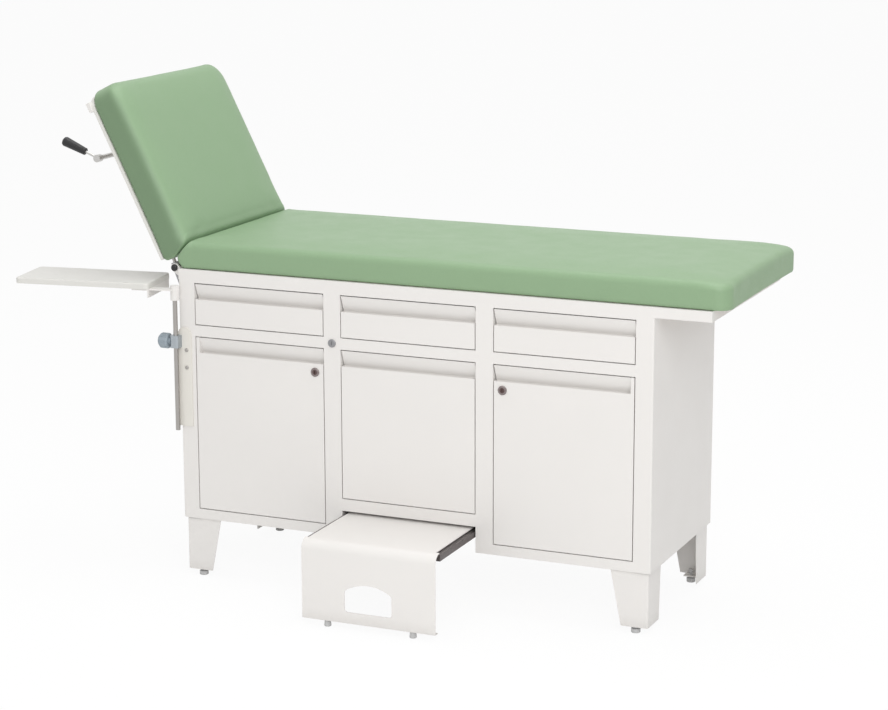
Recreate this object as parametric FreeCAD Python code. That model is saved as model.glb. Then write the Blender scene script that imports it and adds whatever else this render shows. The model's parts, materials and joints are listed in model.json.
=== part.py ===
"""Examination table on a sheet-steel cabinet, in millimetres.

+X points to the foot end, -Y is the front with the drawers and the step, +Z is up.
The origin lies on the floor under the centre of the cabinet.
The backrest is raised and the step is drawn out.
"""
import FreeCAD
import Part
import math
import os

# Cabinet
cabinet_width = 1280.0
cabinet_depth = 480.0
cabinet_base = 158.0
end_stile = 45.0
middle_stile = 46.0
bottom_rail = 26.0
middle_rail = 29.0
top_rail = 8.0
door_opening = 459.0
drawer_opening = 110.0
step_tunnel = 67.0
tunnel_rail = 31.0
sheet = 1.5
corner_bend = 3.0
rail_flange = 30.0
shelf_setback = 62.0
shelf_lip = 15.0

# Fronts of the drawers and doors, with their finger channels
front_gap = 2.5
front_thickness = 20.0
channel_height = 40.0
channel_depth = 17.0
channel_pocket = 8.0
pivot_inset = 5.0
pivot_setback = 4.5
pivot_radius = 2.5
pivot_grip = 6.0
hinge_block = 9.0

# Drawer boxes and their runners
tray_back_gap = 48.5
tray_height = 72.0
deep_tray_height = 290.0
tray_lift = 8.0
tray_clearance = 1.0
runner_width = 12.0
runner_height = 20.0
runner_back_gap = 28.5
runner_lift = 30.0
runner_play = 0.3
rail_end_play = 0.5

# Cylinder locks
lock_inset = 25.0
lock_drop = 64.0
cam_tip_share = 0.9
lock_radius = 9.0
lock_flange = 11.5
lock_proud = 3.0
lock_seat = 0.2
cam_length = 21.0
cam_width = 10.0
cam_thickness = 2.5
strike_reach = 10.0
strike_thickness = 2.5
strike_play = 0.5
strike_width = 16.0
centre_lock_radius = 8.0
centre_lock_flange = 10.5
centre_cam_length = 16.0
keyway_width = 1.6
keyway_length = 9.0
keyway_depth = 2.0

# Legs and levelling feet
leg_inset = 6.0
leg_sheet = 2.0
leg_front_top = 98.0
leg_front_bottom = 70.0
leg_side_top = 92.0
leg_side_bottom = 82.0
leg_bend = 4.0
leg_plate = 3.0
foot_height = 17.0
foot_radius = 11.5
foot_stem = 5.0
foot_pad = 12.0
foot_nut = 3.0
foot_thread = 16.0
foot_inset = 36.0
foot_setback = 16.0
foot_margin = 4.0

# Pull-out step
step_side_play = 4.0
step_headroom = 7.0
step_reach = 241.0
step_depth = 330.0
step_sheet = 2.0
step_bend = 25.0
step_foot_height = 17.0
step_foot_radius = 9.0
step_foot_inset = 64.0
step_foot_setback = 12.0
step_flange = 16.0
hole_width = 126.0
hole_sill = 29.0
hole_side = 53.0
hole_rise = 20.0
hole_corner = 8.0
slide_web = 3.0
slide_gap = 1.0
step_runner_length = 300.0
step_runner_setback = 30.0

# Upholstery frame and the fixed mattress
frame_height = 26.0
frame_tube = 40.0
frame_wall = 2.0
mattress_rear_overhang = 15.0
foot_overhang = 142.0
mattress_width = 590.0
mattress_overhang = 45.0
mattress_head = 2.0
mattress_thickness = 63.0
pad_board = 12.0
pad_board_inset = 16.0
pad_crown = 4.0
pad_crown_run = 110.0
pad_edge = 20.0
pad_base_edge = 5.0
pad_draw = 3.0
pad_corner = 50.0
pad_hinge_corner = 12.0
mattress_nose = 11.0
mattress_nose_rise = 24.0

# Backrest
backrest_angle = 63.5
hinge_offset = 15.0
hinge_rod_radius = 6.0
hinge_eye = 11.0
hinge_rod_inset = 6.0
lug_thickness = 6.0
lug_side_gap = 0.5
backrest_gap = 24.0
backrest_lean = 23.0
backrest_lean_rise = 30.0
backrest_length = 471.0
arm_heel = 28.0
backrest_thickness = 82.0
backrest_drop = 20.0
backrest_corner = 45.0
backrest_board = 8.0
backrest_board_inset = 8.0
arm_spread = 145.0
arm_thickness = 6.0
arm_depth = 18.0
arm_foot = 34.0
head_bar_width = 25.0
head_bar_depth = 10.0
head_bar_wall = 2.0
head_bar_setback = 20.0

# Release lever and gas spring of the backrest
lever_along = 352.0
lever_behind = 142.0
lever_side = -120.0
lever_angle = 158.2
lever_shaft_radius = 6.5
lever_hub_radius = 10.0
lever_hub_length = 18.0
lever_rod_radius = 3.5
lever_length = 113.0
grip_start = 40.0
grip_inner_radius = 9.5
grip_radius = 13.0
grip_dome_share = 0.6
grip_wall_end = 12.0
bracket_half_width = 60.0
bracket_sheet = 3.0
bracket_from = 258.0
bracket_to = 428.0
bracket_shoulder = 18.0
bracket_eye = 16.0
shaft_tail = 8.0
spring_foot_offset = 40.0
spring_radius = 11.0
spring_bore = 9.5
spring_start = 22.0
spring_floor = 38.0
spring_end = 352.0
spring_gland = 8.0
spring_rod_radius = 5.0
spring_rod_length = 356.0
piston_length = 14.0
eye_width = 16.0
eye_wall = 6.5
anchor_pin = 4.0
anchor_sheet = 4.0
anchor_height = 70.0
anchor_ear = 12.0
ear_root_share = 0.6

# Arm board on its clamped rod
board_length = 366.0
board_width = 164.0
board_thickness = 15.0
board_top = 780.0
board_reach = 63.0
board_setback = -25.0
board_swing = 8.9
board_edge = 4.0
board_corner = 12.0
rod_radius = 6.0
rod_outboard = 5.0
rod_forward = 13.0
rod_bottom = 394.0
rod_head_drop = 10.0
socket_wall = 5.0
socket_height = 34.0
bracket_plate = 4.0
bracket_lip = 22.0
bracket_ledge = 46.0
bracket_web = 28.0
clamp_level = 628.0
clamp_height = 32.0
clamp_wall = 6.0
clamp_plate = 3.0
clamp_plate_width = 38.0
plate_top_share = 0.45
clamp_plate_inset = -4.0
clamp_plate_bottom = 404.0
clamp_plate_top = 664.0
clamp_screw_radius = 4.0
clamp_tip_gap = 0.4
plate_screw_inset = 14.0
plate_screw_levels = (559.0, 605.0)
plate_screw_head = 5.0
plate_screw_height = 2.5
screw_dome_share = 0.6
plate_screw_stem = 2.5
knob_radius = 20.0
knob_bevel_share = 0.15
knob_length = 28.0
knob_neck = 9.0
knob_neck_length = 5.0
knob_flutes = 8
flute_radius = 4.0
flute_offset_share = 0.5

# Shared clearances
running_fit = 0.05

# Places worked out from the sizes above
left = -cabinet_width / 2
right = cabinet_width / 2
front = -cabinet_depth / 2
back = cabinet_depth / 2
tray_depth = cabinet_depth - front_thickness - sheet - tray_back_gap
runner_length = cabinet_depth - front_thickness - sheet - runner_back_gap
bay = (cabinet_width - 2 * end_stile - 2 * middle_stile) / 3
door_bottom = cabinet_base + bottom_rail
door_top = door_bottom + door_opening
drawer_bottom = door_top + middle_rail
drawer_top = drawer_bottom + drawer_opening
cabinet_top = drawer_top + top_rail
tunnel_top = cabinet_base + step_tunnel
step_height = tunnel_top - step_headroom
step_width = bay - 2 * step_side_play
deep_bottom = tunnel_top + tunnel_rail
frame_top = cabinet_top + frame_height
frame_foot = right + foot_overhang
mattress_back = front + mattress_width
frame_back = mattress_back - mattress_rear_overhang
middle_y = front + mattress_width / 2
hinge_x = left - hinge_offset
hinge_z = frame_top

V = FreeCAD.Vector
X_AXIS = V(1, 0, 0)
Y_AXIS = V(0, 1, 0)
Z_AXIS = V(0, 0, 1)


def bay_left(index):
    """Left edge of one of the three bays."""
    return left + end_stile + index * (bay + middle_stile)


def box(x0, x1, y0, y1, z0, z1):
    return Part.makeBox(x1 - x0, y1 - y0, z1 - z0, V(x0, y0, z0))


def rod_between(start, end, radius):
    """Round bar from one point to another."""
    run = end - start
    return Part.makeCylinder(radius, run.Length, start, run)


def at(axis, u, v, w):
    """Point from two coordinates in the plane square to an axis and one along it."""
    if axis == "x":
        return V(w, u, v)
    if axis == "y":
        return V(u, w, v)
    return V(u, v, w)


def prism(points, axis, start, end):
    """Extrude a closed outline along an axis, from start to end."""
    corners = [at(axis, u, v, start) for u, v in points]
    face = Part.Face(Part.makePolygon(corners + corners[:1]))
    return face.extrude(at(axis, 0, 0, end - start))


def fold(path, thickness):
    """Outline of a folded sheet whose outer face follows the path, metal on the left of the walk."""
    normals = []
    for (u0, v0), (u1, v1) in zip(path, path[1:]):
        run = math.hypot(u1 - u0, v1 - v0)
        normals.append(((v0 - v1) / run, (u1 - u0) / run))
    inner = []
    for index, (u, v) in enumerate(path):
        before = normals[max(index - 1, 0)]
        after = normals[min(index, len(normals) - 1)]
        share = thickness / (1 + before[0] * after[0] + before[1] * after[1])
        inner.append((u + share * (before[0] + after[0]), v + share * (before[1] + after[1])))
    return list(path) + inner[::-1]


def round_edges(solid, axis, places, radius):
    """Fillet the edges that run along an axis through the given places in the plane square to it."""
    chosen = []
    for edge in solid.Edges:
        ends = [vertex.Point for vertex in edge.Vertexes]
        if len(ends) < 2:
            continue
        for u, v in places:
            if all((point - at(axis, u, v, getattr(point, axis))).Length < 1e-4 for point in ends):
                chosen.append(edge)
    return solid.makeFillet(radius, chosen)


def mirrored(solid, x=0.0):
    """Mirror image in the plane square to X at the given place."""
    return solid.mirror(V(x, 0, 0), X_AXIS)


def mirrored_y(solid, y=0.0):
    return solid.mirror(V(0, y, 0), Y_AXIS)


def turned(profile, base, direction):
    """Solid of revolution from a list of (radius, height) points, standing on base along direction."""
    corners = [V(radius, 0, height) for radius, height in profile]
    face = Part.Face(Part.makePolygon(corners + corners[:1]))
    solid = face.revolve(V(0, 0, 0), Z_AXIS, 360)
    solid.Placement = FreeCAD.Placement(base, FreeCAD.Rotation(Z_AXIS, direction))
    return solid


def eye_plate(chain, centre, radius, bore, y0, y1):
    """Plate across Y whose chain of (x, z) corners closes round an eye, with straight edges tangent to it."""
    ring = chain + [centre]
    area = sum(u0 * v1 - u1 * v0 for (u0, v0), (u1, v1) in zip(ring, ring[1:] + ring[:1]))
    corners = chain if area > 0 else chain[::-1]
    turns = []
    for (u, v), sense in ((corners[-1], 1), (corners[0], -1)):
        reach = math.hypot(u - centre[0], v - centre[1])
        turns.append(math.atan2(v - centre[1], u - centre[0]) + sense * math.acos(radius / reach))
    first, last = turns
    while last < first:
        last += 2 * math.pi
    rim = []
    for turn in (first, (first + last) / 2, last):
        rim.append(V(centre[0] + radius * math.cos(turn), y0, centre[1] + radius * math.sin(turn)))
    spots = [rim[2]] + [V(u, y0, v) for u, v in corners] + [rim[0]]
    edges = [Part.makeLine(start, end) for start, end in zip(spots, spots[1:])]
    face = Part.Face(Part.Wire(edges + [Part.Arc(*rim).toShape()]))
    plate = face.extrude(V(0, y1 - y0, 0))
    if bore:
        hole = rod_between(V(centre[0], y0 - 1, centre[1]), V(centre[0], y1 + 1, centre[1]), bore)
        plate = plate.cut(hole)
    return plate


def joined(first, *others):
    """One welded or folded piece from solids that meet."""
    return first.fuse(list(others)).removeSplitter()


def group(solids):
    return Part.makeCompound(solids)


# Cabinet shell: folded double walls, floors, rails and shelves

def end_panel():
    path = [(left, back), (left, front), (left + end_stile, front), (left + end_stile, back - sheet)]
    panel = prism(fold(path, sheet), "z", cabinet_base, cabinet_top - sheet)
    return round_edges(panel, "z", [(left, front)], corner_bend)


def partition():
    start = bay_left(0) + bay
    end = bay_left(1)
    path = [(start, back - sheet), (start, front), (end, front), (end, back - sheet)]
    return prism(fold(path, sheet), "z", cabinet_base, cabinet_top - sheet)


def lock_hole(radius, x, z):
    """Cutter for a lock barrel through a front sheet."""
    start = V(x, front - lock_proud, z)
    return rod_between(start, start + V(0, front_thickness, 0), radius + running_fit)


def centre_lock_place():
    return (bay_left(0) + bay + middle_stile / 2, door_top + middle_rail / 2)


def top_panel():
    plate = box(left, right, front, back, cabinet_top - sheet, cabinet_top)
    flanges = []
    for index in range(3):
        start = bay_left(index)
        flanges.append(box(start, start + bay, front, front + sheet, drawer_top, cabinet_top - sheet))
    return joined(plate, *flanges)


def back_panel():
    return box(left + sheet, right - sheet, back - sheet, back, cabinet_base, cabinet_top - sheet)


def floor_pan(index, low, high):
    """Double-skinned floor of a bay, folded round its front rail."""
    path = [(back - sheet, high), (front, high), (front, low), (back - sheet, low)]
    start = bay_left(index)
    return prism(fold(path, sheet), "x", start, start + bay)


def front_rail(index):
    deep = front + rail_flange
    path = [(deep, drawer_bottom), (front, drawer_bottom), (front, door_top), (deep, door_top)]
    start = bay_left(index)
    return prism(fold(path, sheet), "x", start, start + bay)


def shelf(index):
    level = (door_bottom + door_top) / 2
    edge = front + shelf_setback
    path = [(back - sheet, level), (edge, level), (edge, level - shelf_lip)]
    start = bay_left(index)
    return prism(fold(path, sheet), "x", start, start + bay)


# Drawer fronts and doors

def front_panel(start, end, low, high, channel_start):
    """Folded front with a finger channel; beside the channel a door keeps a block for its pivot."""
    lip = high - channel_height
    rear = front + front_thickness
    deep = front + channel_depth
    pocket = lip - channel_pocket
    skin = fold([(front, lip), (front, low), (rear, low)], sheet)
    channel = fold([(rear, high), (front, high), (deep, lip), (deep, pocket), (front + sheet, pocket)], sheet)
    pieces = [prism(channel, "x", channel_start, end)]
    cheek = [(front, low), (rear, low), (rear, high), (front, high), (deep, lip), (front, lip)]
    for place in (channel_start, end - sheet):
        pieces.append(prism(cheek, "x", place, place + sheet))
    if channel_start > start:
        strip = fold([(rear, high), (front, high), (front, lip)], sheet)
        pieces.append(prism(strip, "x", start, channel_start))
        pieces.append(box(start, start + sheet, front, rear, low, high))
        pieces.append(box(channel_start - sheet, channel_start, front, rear, pocket, high))
    return joined(prism(skin, "x", start, end), *pieces)


def drawer_front(index, low, high):
    start = bay_left(index) + front_gap
    end = bay_left(index) + bay - front_gap
    return front_panel(start, end, low + front_gap, high - front_gap, start)


def door_pivot_place():
    return (bay_left(0) + front_gap + pivot_inset, front + pivot_setback)


def door_lock_place():
    return (bay_left(0) + bay - lock_inset, door_top - lock_drop)


def door():
    """Left door: hung on its outer edge, with a lock near the upper corner of its free edge."""
    start = bay_left(0) + front_gap
    end = bay_left(0) + bay - front_gap
    low = door_bottom + front_gap
    high = door_top - front_gap
    panel = front_panel(start, end, low, high, start + hinge_block)
    x, y = door_pivot_place()
    pivot = rod_between(V(x, y, low - 1), V(x, y, high + 1), pivot_radius + running_fit)
    x, z = door_lock_place()
    return panel.cut([pivot, lock_hole(lock_radius, x, z)])


def door_pivots():
    """Four pins that the doors turn on, welded to the rails above and the floors below."""
    x, y = door_pivot_place()
    length = front_gap + pivot_grip
    upper = rod_between(V(x, y, door_top - length), V(x, y, door_top), pivot_radius)
    lower = rod_between(V(x, y, door_bottom), V(x, y, door_bottom + length), pivot_radius)
    return group([upper, lower, mirrored(upper), mirrored(lower)])


# Locks

def keyway(x, z, y):
    half = keyway_width / 2
    return box(x - half, x + half, y, y + keyway_depth, z - keyway_length / 2, z + keyway_length / 2)


def cylinder_lock(x, z, radius, flange, length, reach):
    """Lock cylinder with its flange in front and its cam hanging down behind."""
    face = front - lock_proud
    seat = front - lock_seat
    tail = front + length
    profile = [(0, 0), (flange - 1, 0), (flange, 1), (flange, seat - face), (radius, seat - face)]
    profile += [(radius, tail - face), (0, tail - face)]
    barrel = turned(profile, V(x, face, z), Y_AXIS)
    half = cam_width / 2
    cam = box(x - half, x + half, tail, tail + cam_thickness, z - reach, z + half)
    cam = round_edges(cam, "y", [(x - half, z - reach), (x + half, z - reach)], half * cam_tip_share)
    return joined(barrel, cam).cut(keyway(x, z, face))


def door_lock():
    x, z = door_lock_place()
    depth = front_thickness + strike_thickness + 2 * strike_play
    return cylinder_lock(x, z, lock_radius, lock_flange, depth, cam_length)


def lock_strike():
    """Bent lug on the partition that the turned cam catches behind."""
    x, z = door_lock_place()
    wall = bay_left(0) + bay
    edge = front + front_thickness + strike_play
    tongue = edge + strike_thickness
    path = [(wall, tongue + strike_width), (wall, edge), (wall - strike_reach, edge)]
    lug = fold(path[::-1], strike_thickness)
    half = strike_width / 2
    return prism(lug, "z", z - half, z + half)


def centre_lock():
    x, z = centre_lock_place()
    return cylinder_lock(x, z, centre_lock_radius, centre_lock_flange, front_thickness, centre_cam_length)


# Drawer boxes and runners

def runner_level(low):
    return low + tray_lift + runner_lift


def runner_pair(index, low):
    """Two channels on the walls of a bay, open to the drawer."""
    wall = bay_left(index)
    level = runner_level(low)
    up = level + runner_height / 2
    down = level - runner_height / 2
    path = [(wall + runner_width, up), (wall, up), (wall, down), (wall + runner_width, down)]
    start = front + front_thickness
    first = prism(fold(path, sheet), "y", start, start + runner_length)
    return [first, mirrored(first, wall + bay / 2)]


def tray(index, low, height):
    """Open drawer box with a rail on each side that rides in the runners."""
    start = bay_left(index) + runner_width + tray_clearance
    end = bay_left(index) + bay - runner_width - tray_clearance
    y0 = front + front_thickness
    y1 = y0 + tray_depth
    z0 = low + tray_lift
    outer = box(start, end, y0, y1, z0, z0 + height)
    inner = box(start + sheet, end - sheet, y0 + sheet, y1 - sheet, z0 + sheet, z0 + height + 1)
    half = runner_height / 2 - sheet - runner_play
    level = runner_level(low)
    tip = bay_left(index) + sheet + rail_end_play
    rail = box(tip, start, y0, y1, level - half, level + half)
    other = mirrored(rail, bay_left(index) + bay / 2)
    return joined(outer.cut(inner), rail, other)


# Legs and levelling feet

def leg():
    """Front left leg: a tapered angle of folded sheet with a plate above and a plate for the foot."""
    x = left + leg_inset
    y = front + leg_inset
    top = cabinet_base
    low = foot_height
    wide = [(x, top), (x + leg_front_top, top), (x + leg_front_bottom, low), (x, low)]
    side = [(y, top), (y + leg_side_top, top), (y + leg_side_bottom, low), (y, low)]
    angle = joined(prism(wide, "y", y, y + leg_sheet), prism(side, "x", x, x + leg_sheet))
    angle = round_edges(angle, "z", [(x, y)], leg_bend)
    inner = leg_sheet / 2
    upper = box(x + inner, x + leg_front_bottom, y + inner, y + leg_side_bottom, top - leg_plate, top)
    margin = foot_radius + foot_margin
    lower = box(x + inner, x + foot_inset + margin, y + inner, y + foot_setback + margin,
                low, low + leg_plate)
    foot = V(x + foot_inset, y + foot_setback, 0)
    stem = rod_between(foot, foot + V(0, 0, top / 2), foot_stem + running_fit)
    return joined(angle, upper, lower).cut(stem)


def levelling_foot():
    x = left + leg_inset + foot_inset
    y = front + leg_inset + foot_setback
    profile = [(0, 0), (foot_radius - 1, 0), (foot_radius, 1), (foot_radius, foot_pad - 2)]
    profile.append((foot_stem, foot_pad))
    profile += [(foot_stem, foot_height - foot_nut), (foot_radius - 1, foot_height - foot_nut)]
    profile += [(foot_radius - 1, foot_height), (foot_stem, foot_height)]
    profile += [(foot_stem, foot_height + foot_thread), (0, foot_height + foot_thread)]
    return turned(profile, V(x, y, 0), Z_AXIS)


def four_corners(solid):
    """The front left piece and its mirror images: front right, back left, back right."""
    rear = mirrored_y(solid)
    return [solid, mirrored(solid), rear, mirrored(rear)]


# Pull-out step

step_front = front - step_reach
step_rear = step_front + step_depth
tread_under = step_height - step_sheet
step_runner_level = tread_under - slide_gap - runner_height / 2


def hand_hole():
    """Cutter for the arched hand hole in the apron."""
    half = hole_width / 2
    low = step_foot_height + hole_sill
    high = low + hole_side
    y = step_front - step_sheet
    spots = [V(-half, y, high), V(-half, y, low), V(half, y, low), V(half, y, high)]
    edges = [Part.makeLine(start, end) for start, end in zip(spots, spots[1:])]
    edges.append(Part.Arc(spots[3], V(0, y, high + hole_rise), spots[0]).toShape())
    cutter = Part.Face(Part.Wire(edges)).extrude(V(0, 3 * step_sheet, 0))
    return round_edges(cutter, "y", [(-half, low), (half, low), (-half, high), (half, high)], hole_corner)


def step_tread():
    """Narrow tread and wide apron bent from one sheet, with an arched hand hole cut in the apron."""
    low = step_foot_height
    path = [(step_rear, step_height), (step_front, step_height), (step_front, low),
            (step_front + step_flange, low)]
    half = step_width / 2
    bent = prism(fold(path, step_sheet), "x", -half, half)
    bent = round_edges(bent, "x", [(step_front, step_height)], step_bend)
    bent = round_edges(bent, "x", [(step_front + step_sheet, tread_under)], step_bend - step_sheet)
    spare = box(-step_width, slide_face(), step_front + step_bend, step_rear, tread_under, step_height)
    return bent.cut(spare).cut(mirrored(spare)).cut(hand_hole())


def slide_face():
    """Outer face of the left slide's web, which is also the left edge of the tread."""
    return bay_left(1) + runner_width + tray_clearance


def step_slide():
    """Left slide under the tread, with the rail that runs in the fixed channel."""
    wall = bay_left(1)
    tip = wall + sheet + rail_end_play
    web = slide_face()
    half = runner_height / 2 - sheet - runner_play
    low = step_runner_level - half
    high = step_runner_level + half
    outline = [(tip, low), (web + slide_web, low), (web + slide_web, tread_under), (web, tread_under),
               (web, high), (tip, high)]
    return prism(outline, "y", step_front + step_bend, step_rear)


def step_runner():
    wall = bay_left(1)
    up = step_runner_level + runner_height / 2
    down = step_runner_level - runner_height / 2
    path = [(wall + runner_width, up), (wall, up), (wall, down), (wall + runner_width, down)]
    start = front + step_runner_setback
    return prism(fold(path, sheet), "y", start, start + step_runner_length)


def step_foot():
    x = -step_width / 2 + step_foot_inset
    y = step_front + step_foot_setback
    radius = step_foot_radius
    profile = [(0, 0), (radius - 1.5, 0), (radius, 1.5), (radius - 1.5, step_foot_height)]
    profile.append((0, step_foot_height))
    return turned(profile, V(x, y, 0), Z_AXIS)


# Upholstery frame

def frame_ring(inset):
    """Plan corners of the frame, drawn in by an inset."""
    return [(left + inset, front + inset), (frame_foot - inset, front + inset),
            (frame_foot - inset, frame_back - inset), (left + inset, frame_back - inset)]


def frame_member(side):
    """One mitred tube of the frame: 0 front, 1 foot, 2 back, 3 head."""
    turn = (side + 1) % 4
    rings = [frame_ring(inset) for inset in (0, frame_tube, frame_wall, frame_tube - frame_wall)]
    outer, inner, wall, core = rings
    tube = prism([outer[side], outer[turn], inner[turn], inner[side]], "z", cabinet_top, frame_top)
    hollow = prism([wall[side], wall[turn], core[turn], core[side]], "z",
                   cabinet_top + frame_wall, frame_top - frame_wall)
    return tube.cut(hollow)


def hinge_lug(y):
    """Plate welded to the head tube, with the eye that holds the hinge rod."""
    chain = [(left, cabinet_top + frame_wall), (left, frame_top)]
    half = lug_thickness / 2
    return eye_plate(chain, (hinge_x, hinge_z), hinge_eye, hinge_rod_radius + running_fit, y - half, y + half)


def frame_head():
    outer = hinge_rod_inset + lug_thickness
    beside = arm_spread + arm_thickness / 2 + lug_side_gap + lug_thickness / 2
    places = [front + outer, middle_y - beside, middle_y + beside, frame_back - outer]
    return joined(frame_member(3), *[hinge_lug(y) for y in places])


def hinge_rod():
    return rod_between(V(hinge_x, front + hinge_rod_inset, hinge_z),
                       V(hinge_x, frame_back - hinge_rod_inset, hinge_z), hinge_rod_radius)


# Upholstery pads

def bowed(start, end, draw):
    """Side of a pad, drawn in at its middle."""
    run = end - start
    inward = V(-run.y, run.x, 0)
    inward.normalize()
    return Part.Arc(start, (start + end) * 0.5 + inward * draw, end).toShape()


def pad_outline(x0, x1, radius0, radius1, inset, z):
    """Plan of a pad at one height, with a corner radius for each end and sides drawn in."""
    y0 = front + inset
    y1 = mattress_back - inset
    least = pad_base_edge
    r0 = max(radius0 - inset, least)
    r1 = max(radius1 - inset, least)
    corners = [(x1 - r1, y0 + r1, r1, -90), (x1 - r1, y1 - r1, r1, 0),
               (x0 + r0, y1 - r0, r0, 90), (x0 + r0, y0 + r0, r0, 180)]
    arcs = []
    for x, y, radius, first in corners:
        spots = []
        for step in (0, 45, 90):
            turn = math.radians(first + step)
            spots.append(V(x + radius * math.cos(turn), y + radius * math.sin(turn), z))
        arcs.append(spots)
    edges = []
    for index, spots in enumerate(arcs):
        edges.append(Part.Arc(*spots).toShape())
        edges.append(bowed(spots[2], arcs[(index + 1) % 4][0], pad_draw))
    return Part.Wire(edges)


def pad_levels(thickness, waist):
    """Heights and insets of a pad's outlines, from its base past its waist to the crown of its top."""
    levels = [(0, pad_base_edge), (pad_base_edge, 0), (waist, 0)]
    for step in (0, 30, 60, 90):
        turn = math.radians(step)
        rise = thickness - pad_edge + pad_edge * math.sin(turn)
        levels.append((rise, pad_edge * (1 - math.cos(turn))))
    levels.append((thickness + pad_crown, pad_edge + pad_crown_run))
    return levels


def mattress_board():
    x1 = frame_foot + mattress_overhang - pad_board_inset
    y0 = front + pad_board_inset
    y1 = mattress_back - pad_board_inset
    board = box(left - mattress_head + pad_board_inset, x1, y0, y1, frame_top, frame_top + pad_board)
    return round_edges(board, "z", [(x1, y0), (x1, y1)], pad_corner - pad_board_inset)


def mattress_pad():
    """Crowned pad round its board, with a head end that swells out under the backrest."""
    x1 = frame_foot + mattress_overhang
    wires = []
    for rise, inset in pad_levels(mattress_thickness, mattress_nose_rise):
        x0 = left - mattress_head + inset
        if rise == mattress_nose_rise:
            x0 -= mattress_nose
        wires.append(pad_outline(x0, x1 - inset, pad_hinge_corner, pad_corner, inset, frame_top + rise))
    return Part.makeLoft(wires, True, True).cut(mattress_board())


# Backrest, drawn lying flat and then raised about the hinge

def raised(solid):
    lifted = solid.copy()
    lifted.rotate(V(hinge_x, 0, hinge_z), Y_AXIS, backrest_angle)
    return lifted


def flat_point(along, above, y):
    """Point of the backrest while it lies flat: along it from the hinge and above the hinge."""
    return V(hinge_x - along, y, hinge_z + above)


def flat_places(points):
    """Places in the table's frame of (along, above) points of the flat backrest."""
    return [(hinge_x - along, hinge_z + above) for along, above in points]


def flat_prism(points, y0, y1):
    """Extrude an outline of (along, above) points across the backrest."""
    return prism(flat_places(points), "y", y0, y1)


board_face = -backrest_drop
board_rear = board_face - backrest_board
backrest_end = backrest_gap + backrest_length


def backrest_pad():
    """Crowned pad whose hinge end leans back above its waist, clear of the mattress."""
    x0 = hinge_x - backrest_end
    lean_run = backrest_thickness - pad_edge - backrest_lean_rise
    wires = []
    for rise, inset in pad_levels(backrest_thickness, backrest_lean_rise):
        lean = backrest_lean * min(max(rise - backrest_lean_rise, 0) / lean_run, 1)
        x1 = hinge_x - backrest_gap - lean - inset
        wires.append(pad_outline(x0 + inset, x1, backrest_corner, pad_hinge_corner, inset,
                                 hinge_z + board_face + rise))
    return Part.makeLoft(wires, True, True)


def backrest_board_panel():
    x0 = hinge_x - backrest_end + backrest_board_inset
    x1 = hinge_x - backrest_gap - backrest_board_inset
    y0 = front + backrest_board_inset
    y1 = mattress_back - backrest_board_inset
    panel = box(x0, x1, y0, y1, hinge_z + board_rear, hinge_z + board_face)
    return round_edges(panel, "z", [(x0, y0), (x0, y1)], backrest_corner - backrest_board_inset)


head_bar_end = backrest_end - head_bar_setback
head_bar_start = head_bar_end - head_bar_width


def backrest_arm(y):
    """Flat steel arm from the hinge rod along the back of the board."""
    low = board_rear - arm_depth
    chain = [(arm_foot, low), (head_bar_start - arm_depth, low), (head_bar_start, board_rear - arm_depth / 2),
             (head_bar_start, board_rear), (arm_heel, board_rear)]
    half = arm_thickness / 2
    return eye_plate(flat_places(chain), (hinge_x, hinge_z), hinge_eye, hinge_rod_radius + running_fit,
                     y - half, y + half)


def head_bar():
    """Rectangular tube with closed ends across the head end, behind the board."""
    wall = head_bar_wall
    low = board_rear - head_bar_depth
    y0 = front + backrest_board_inset / 2
    y1 = mattress_back - backrest_board_inset / 2
    outer = [(head_bar_start, low), (head_bar_end, low)]
    outer += [(head_bar_end, board_rear), (head_bar_start, board_rear)]
    inner = [(head_bar_start + wall, low + wall), (head_bar_end - wall, low + wall),
             (head_bar_end - wall, board_rear - wall), (head_bar_start + wall, board_rear - wall)]
    return flat_prism(outer, y0, y1).cut(flat_prism(inner, y0 + wall, y1 - wall))


def lever_axis(y):
    return flat_point(lever_along, -lever_behind, y)


def spring_bracket():
    """Folded bracket on the board: two tapered cheeks that carry the lever shaft and the gas spring."""
    inside = middle_y - bracket_half_width
    outside = middle_y + bracket_half_width
    low = board_rear - bracket_shoulder
    corners = [(bracket_from, low), (bracket_from, board_rear), (bracket_to, board_rear), (bracket_to, low)]
    chain = flat_places(corners)
    base = [(bracket_from, board_rear - bracket_sheet), (bracket_to, board_rear - bracket_sheet),
            (bracket_to, board_rear), (bracket_from, board_rear)]
    tip = flat_places([(lever_along, -lever_behind)])[0]
    cheeks = []
    for y0 in (inside, outside - bracket_sheet):
        bore = lever_shaft_radius + running_fit
        cheeks.append(eye_plate(chain, tip, bracket_eye, bore, y0, y0 + bracket_sheet))
    return joined(flat_prism(base, inside, outside), *cheeks)


# Release lever and gas spring, placed with the backrest raised

def raised_point(point):
    turn = FreeCAD.Rotation(Y_AXIS, backrest_angle)
    pivot = V(hinge_x, 0, hinge_z)
    return pivot + turn.multVec(point - pivot)


lever_direction = V(math.cos(math.radians(lever_angle)), 0, math.sin(math.radians(lever_angle)))


def lever_point(y, along=0.0):
    return raised_point(lever_axis(y)) + lever_direction * along


def release_lever():
    """Shaft across the bracket with a hub at its end and the rod of the hand lever."""
    near = lever_side - lever_hub_length / 2
    far = middle_y + bracket_half_width + shaft_tail
    shaft = rod_between(lever_point(near), lever_point(far), lever_shaft_radius)
    hub = rod_between(lever_point(near), lever_point(near + lever_hub_length), lever_hub_radius)
    arm = rod_between(lever_point(lever_side), lever_point(lever_side, lever_length - grip_wall_end),
                      lever_rod_radius)
    return joined(shaft, hub, arm)


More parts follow.
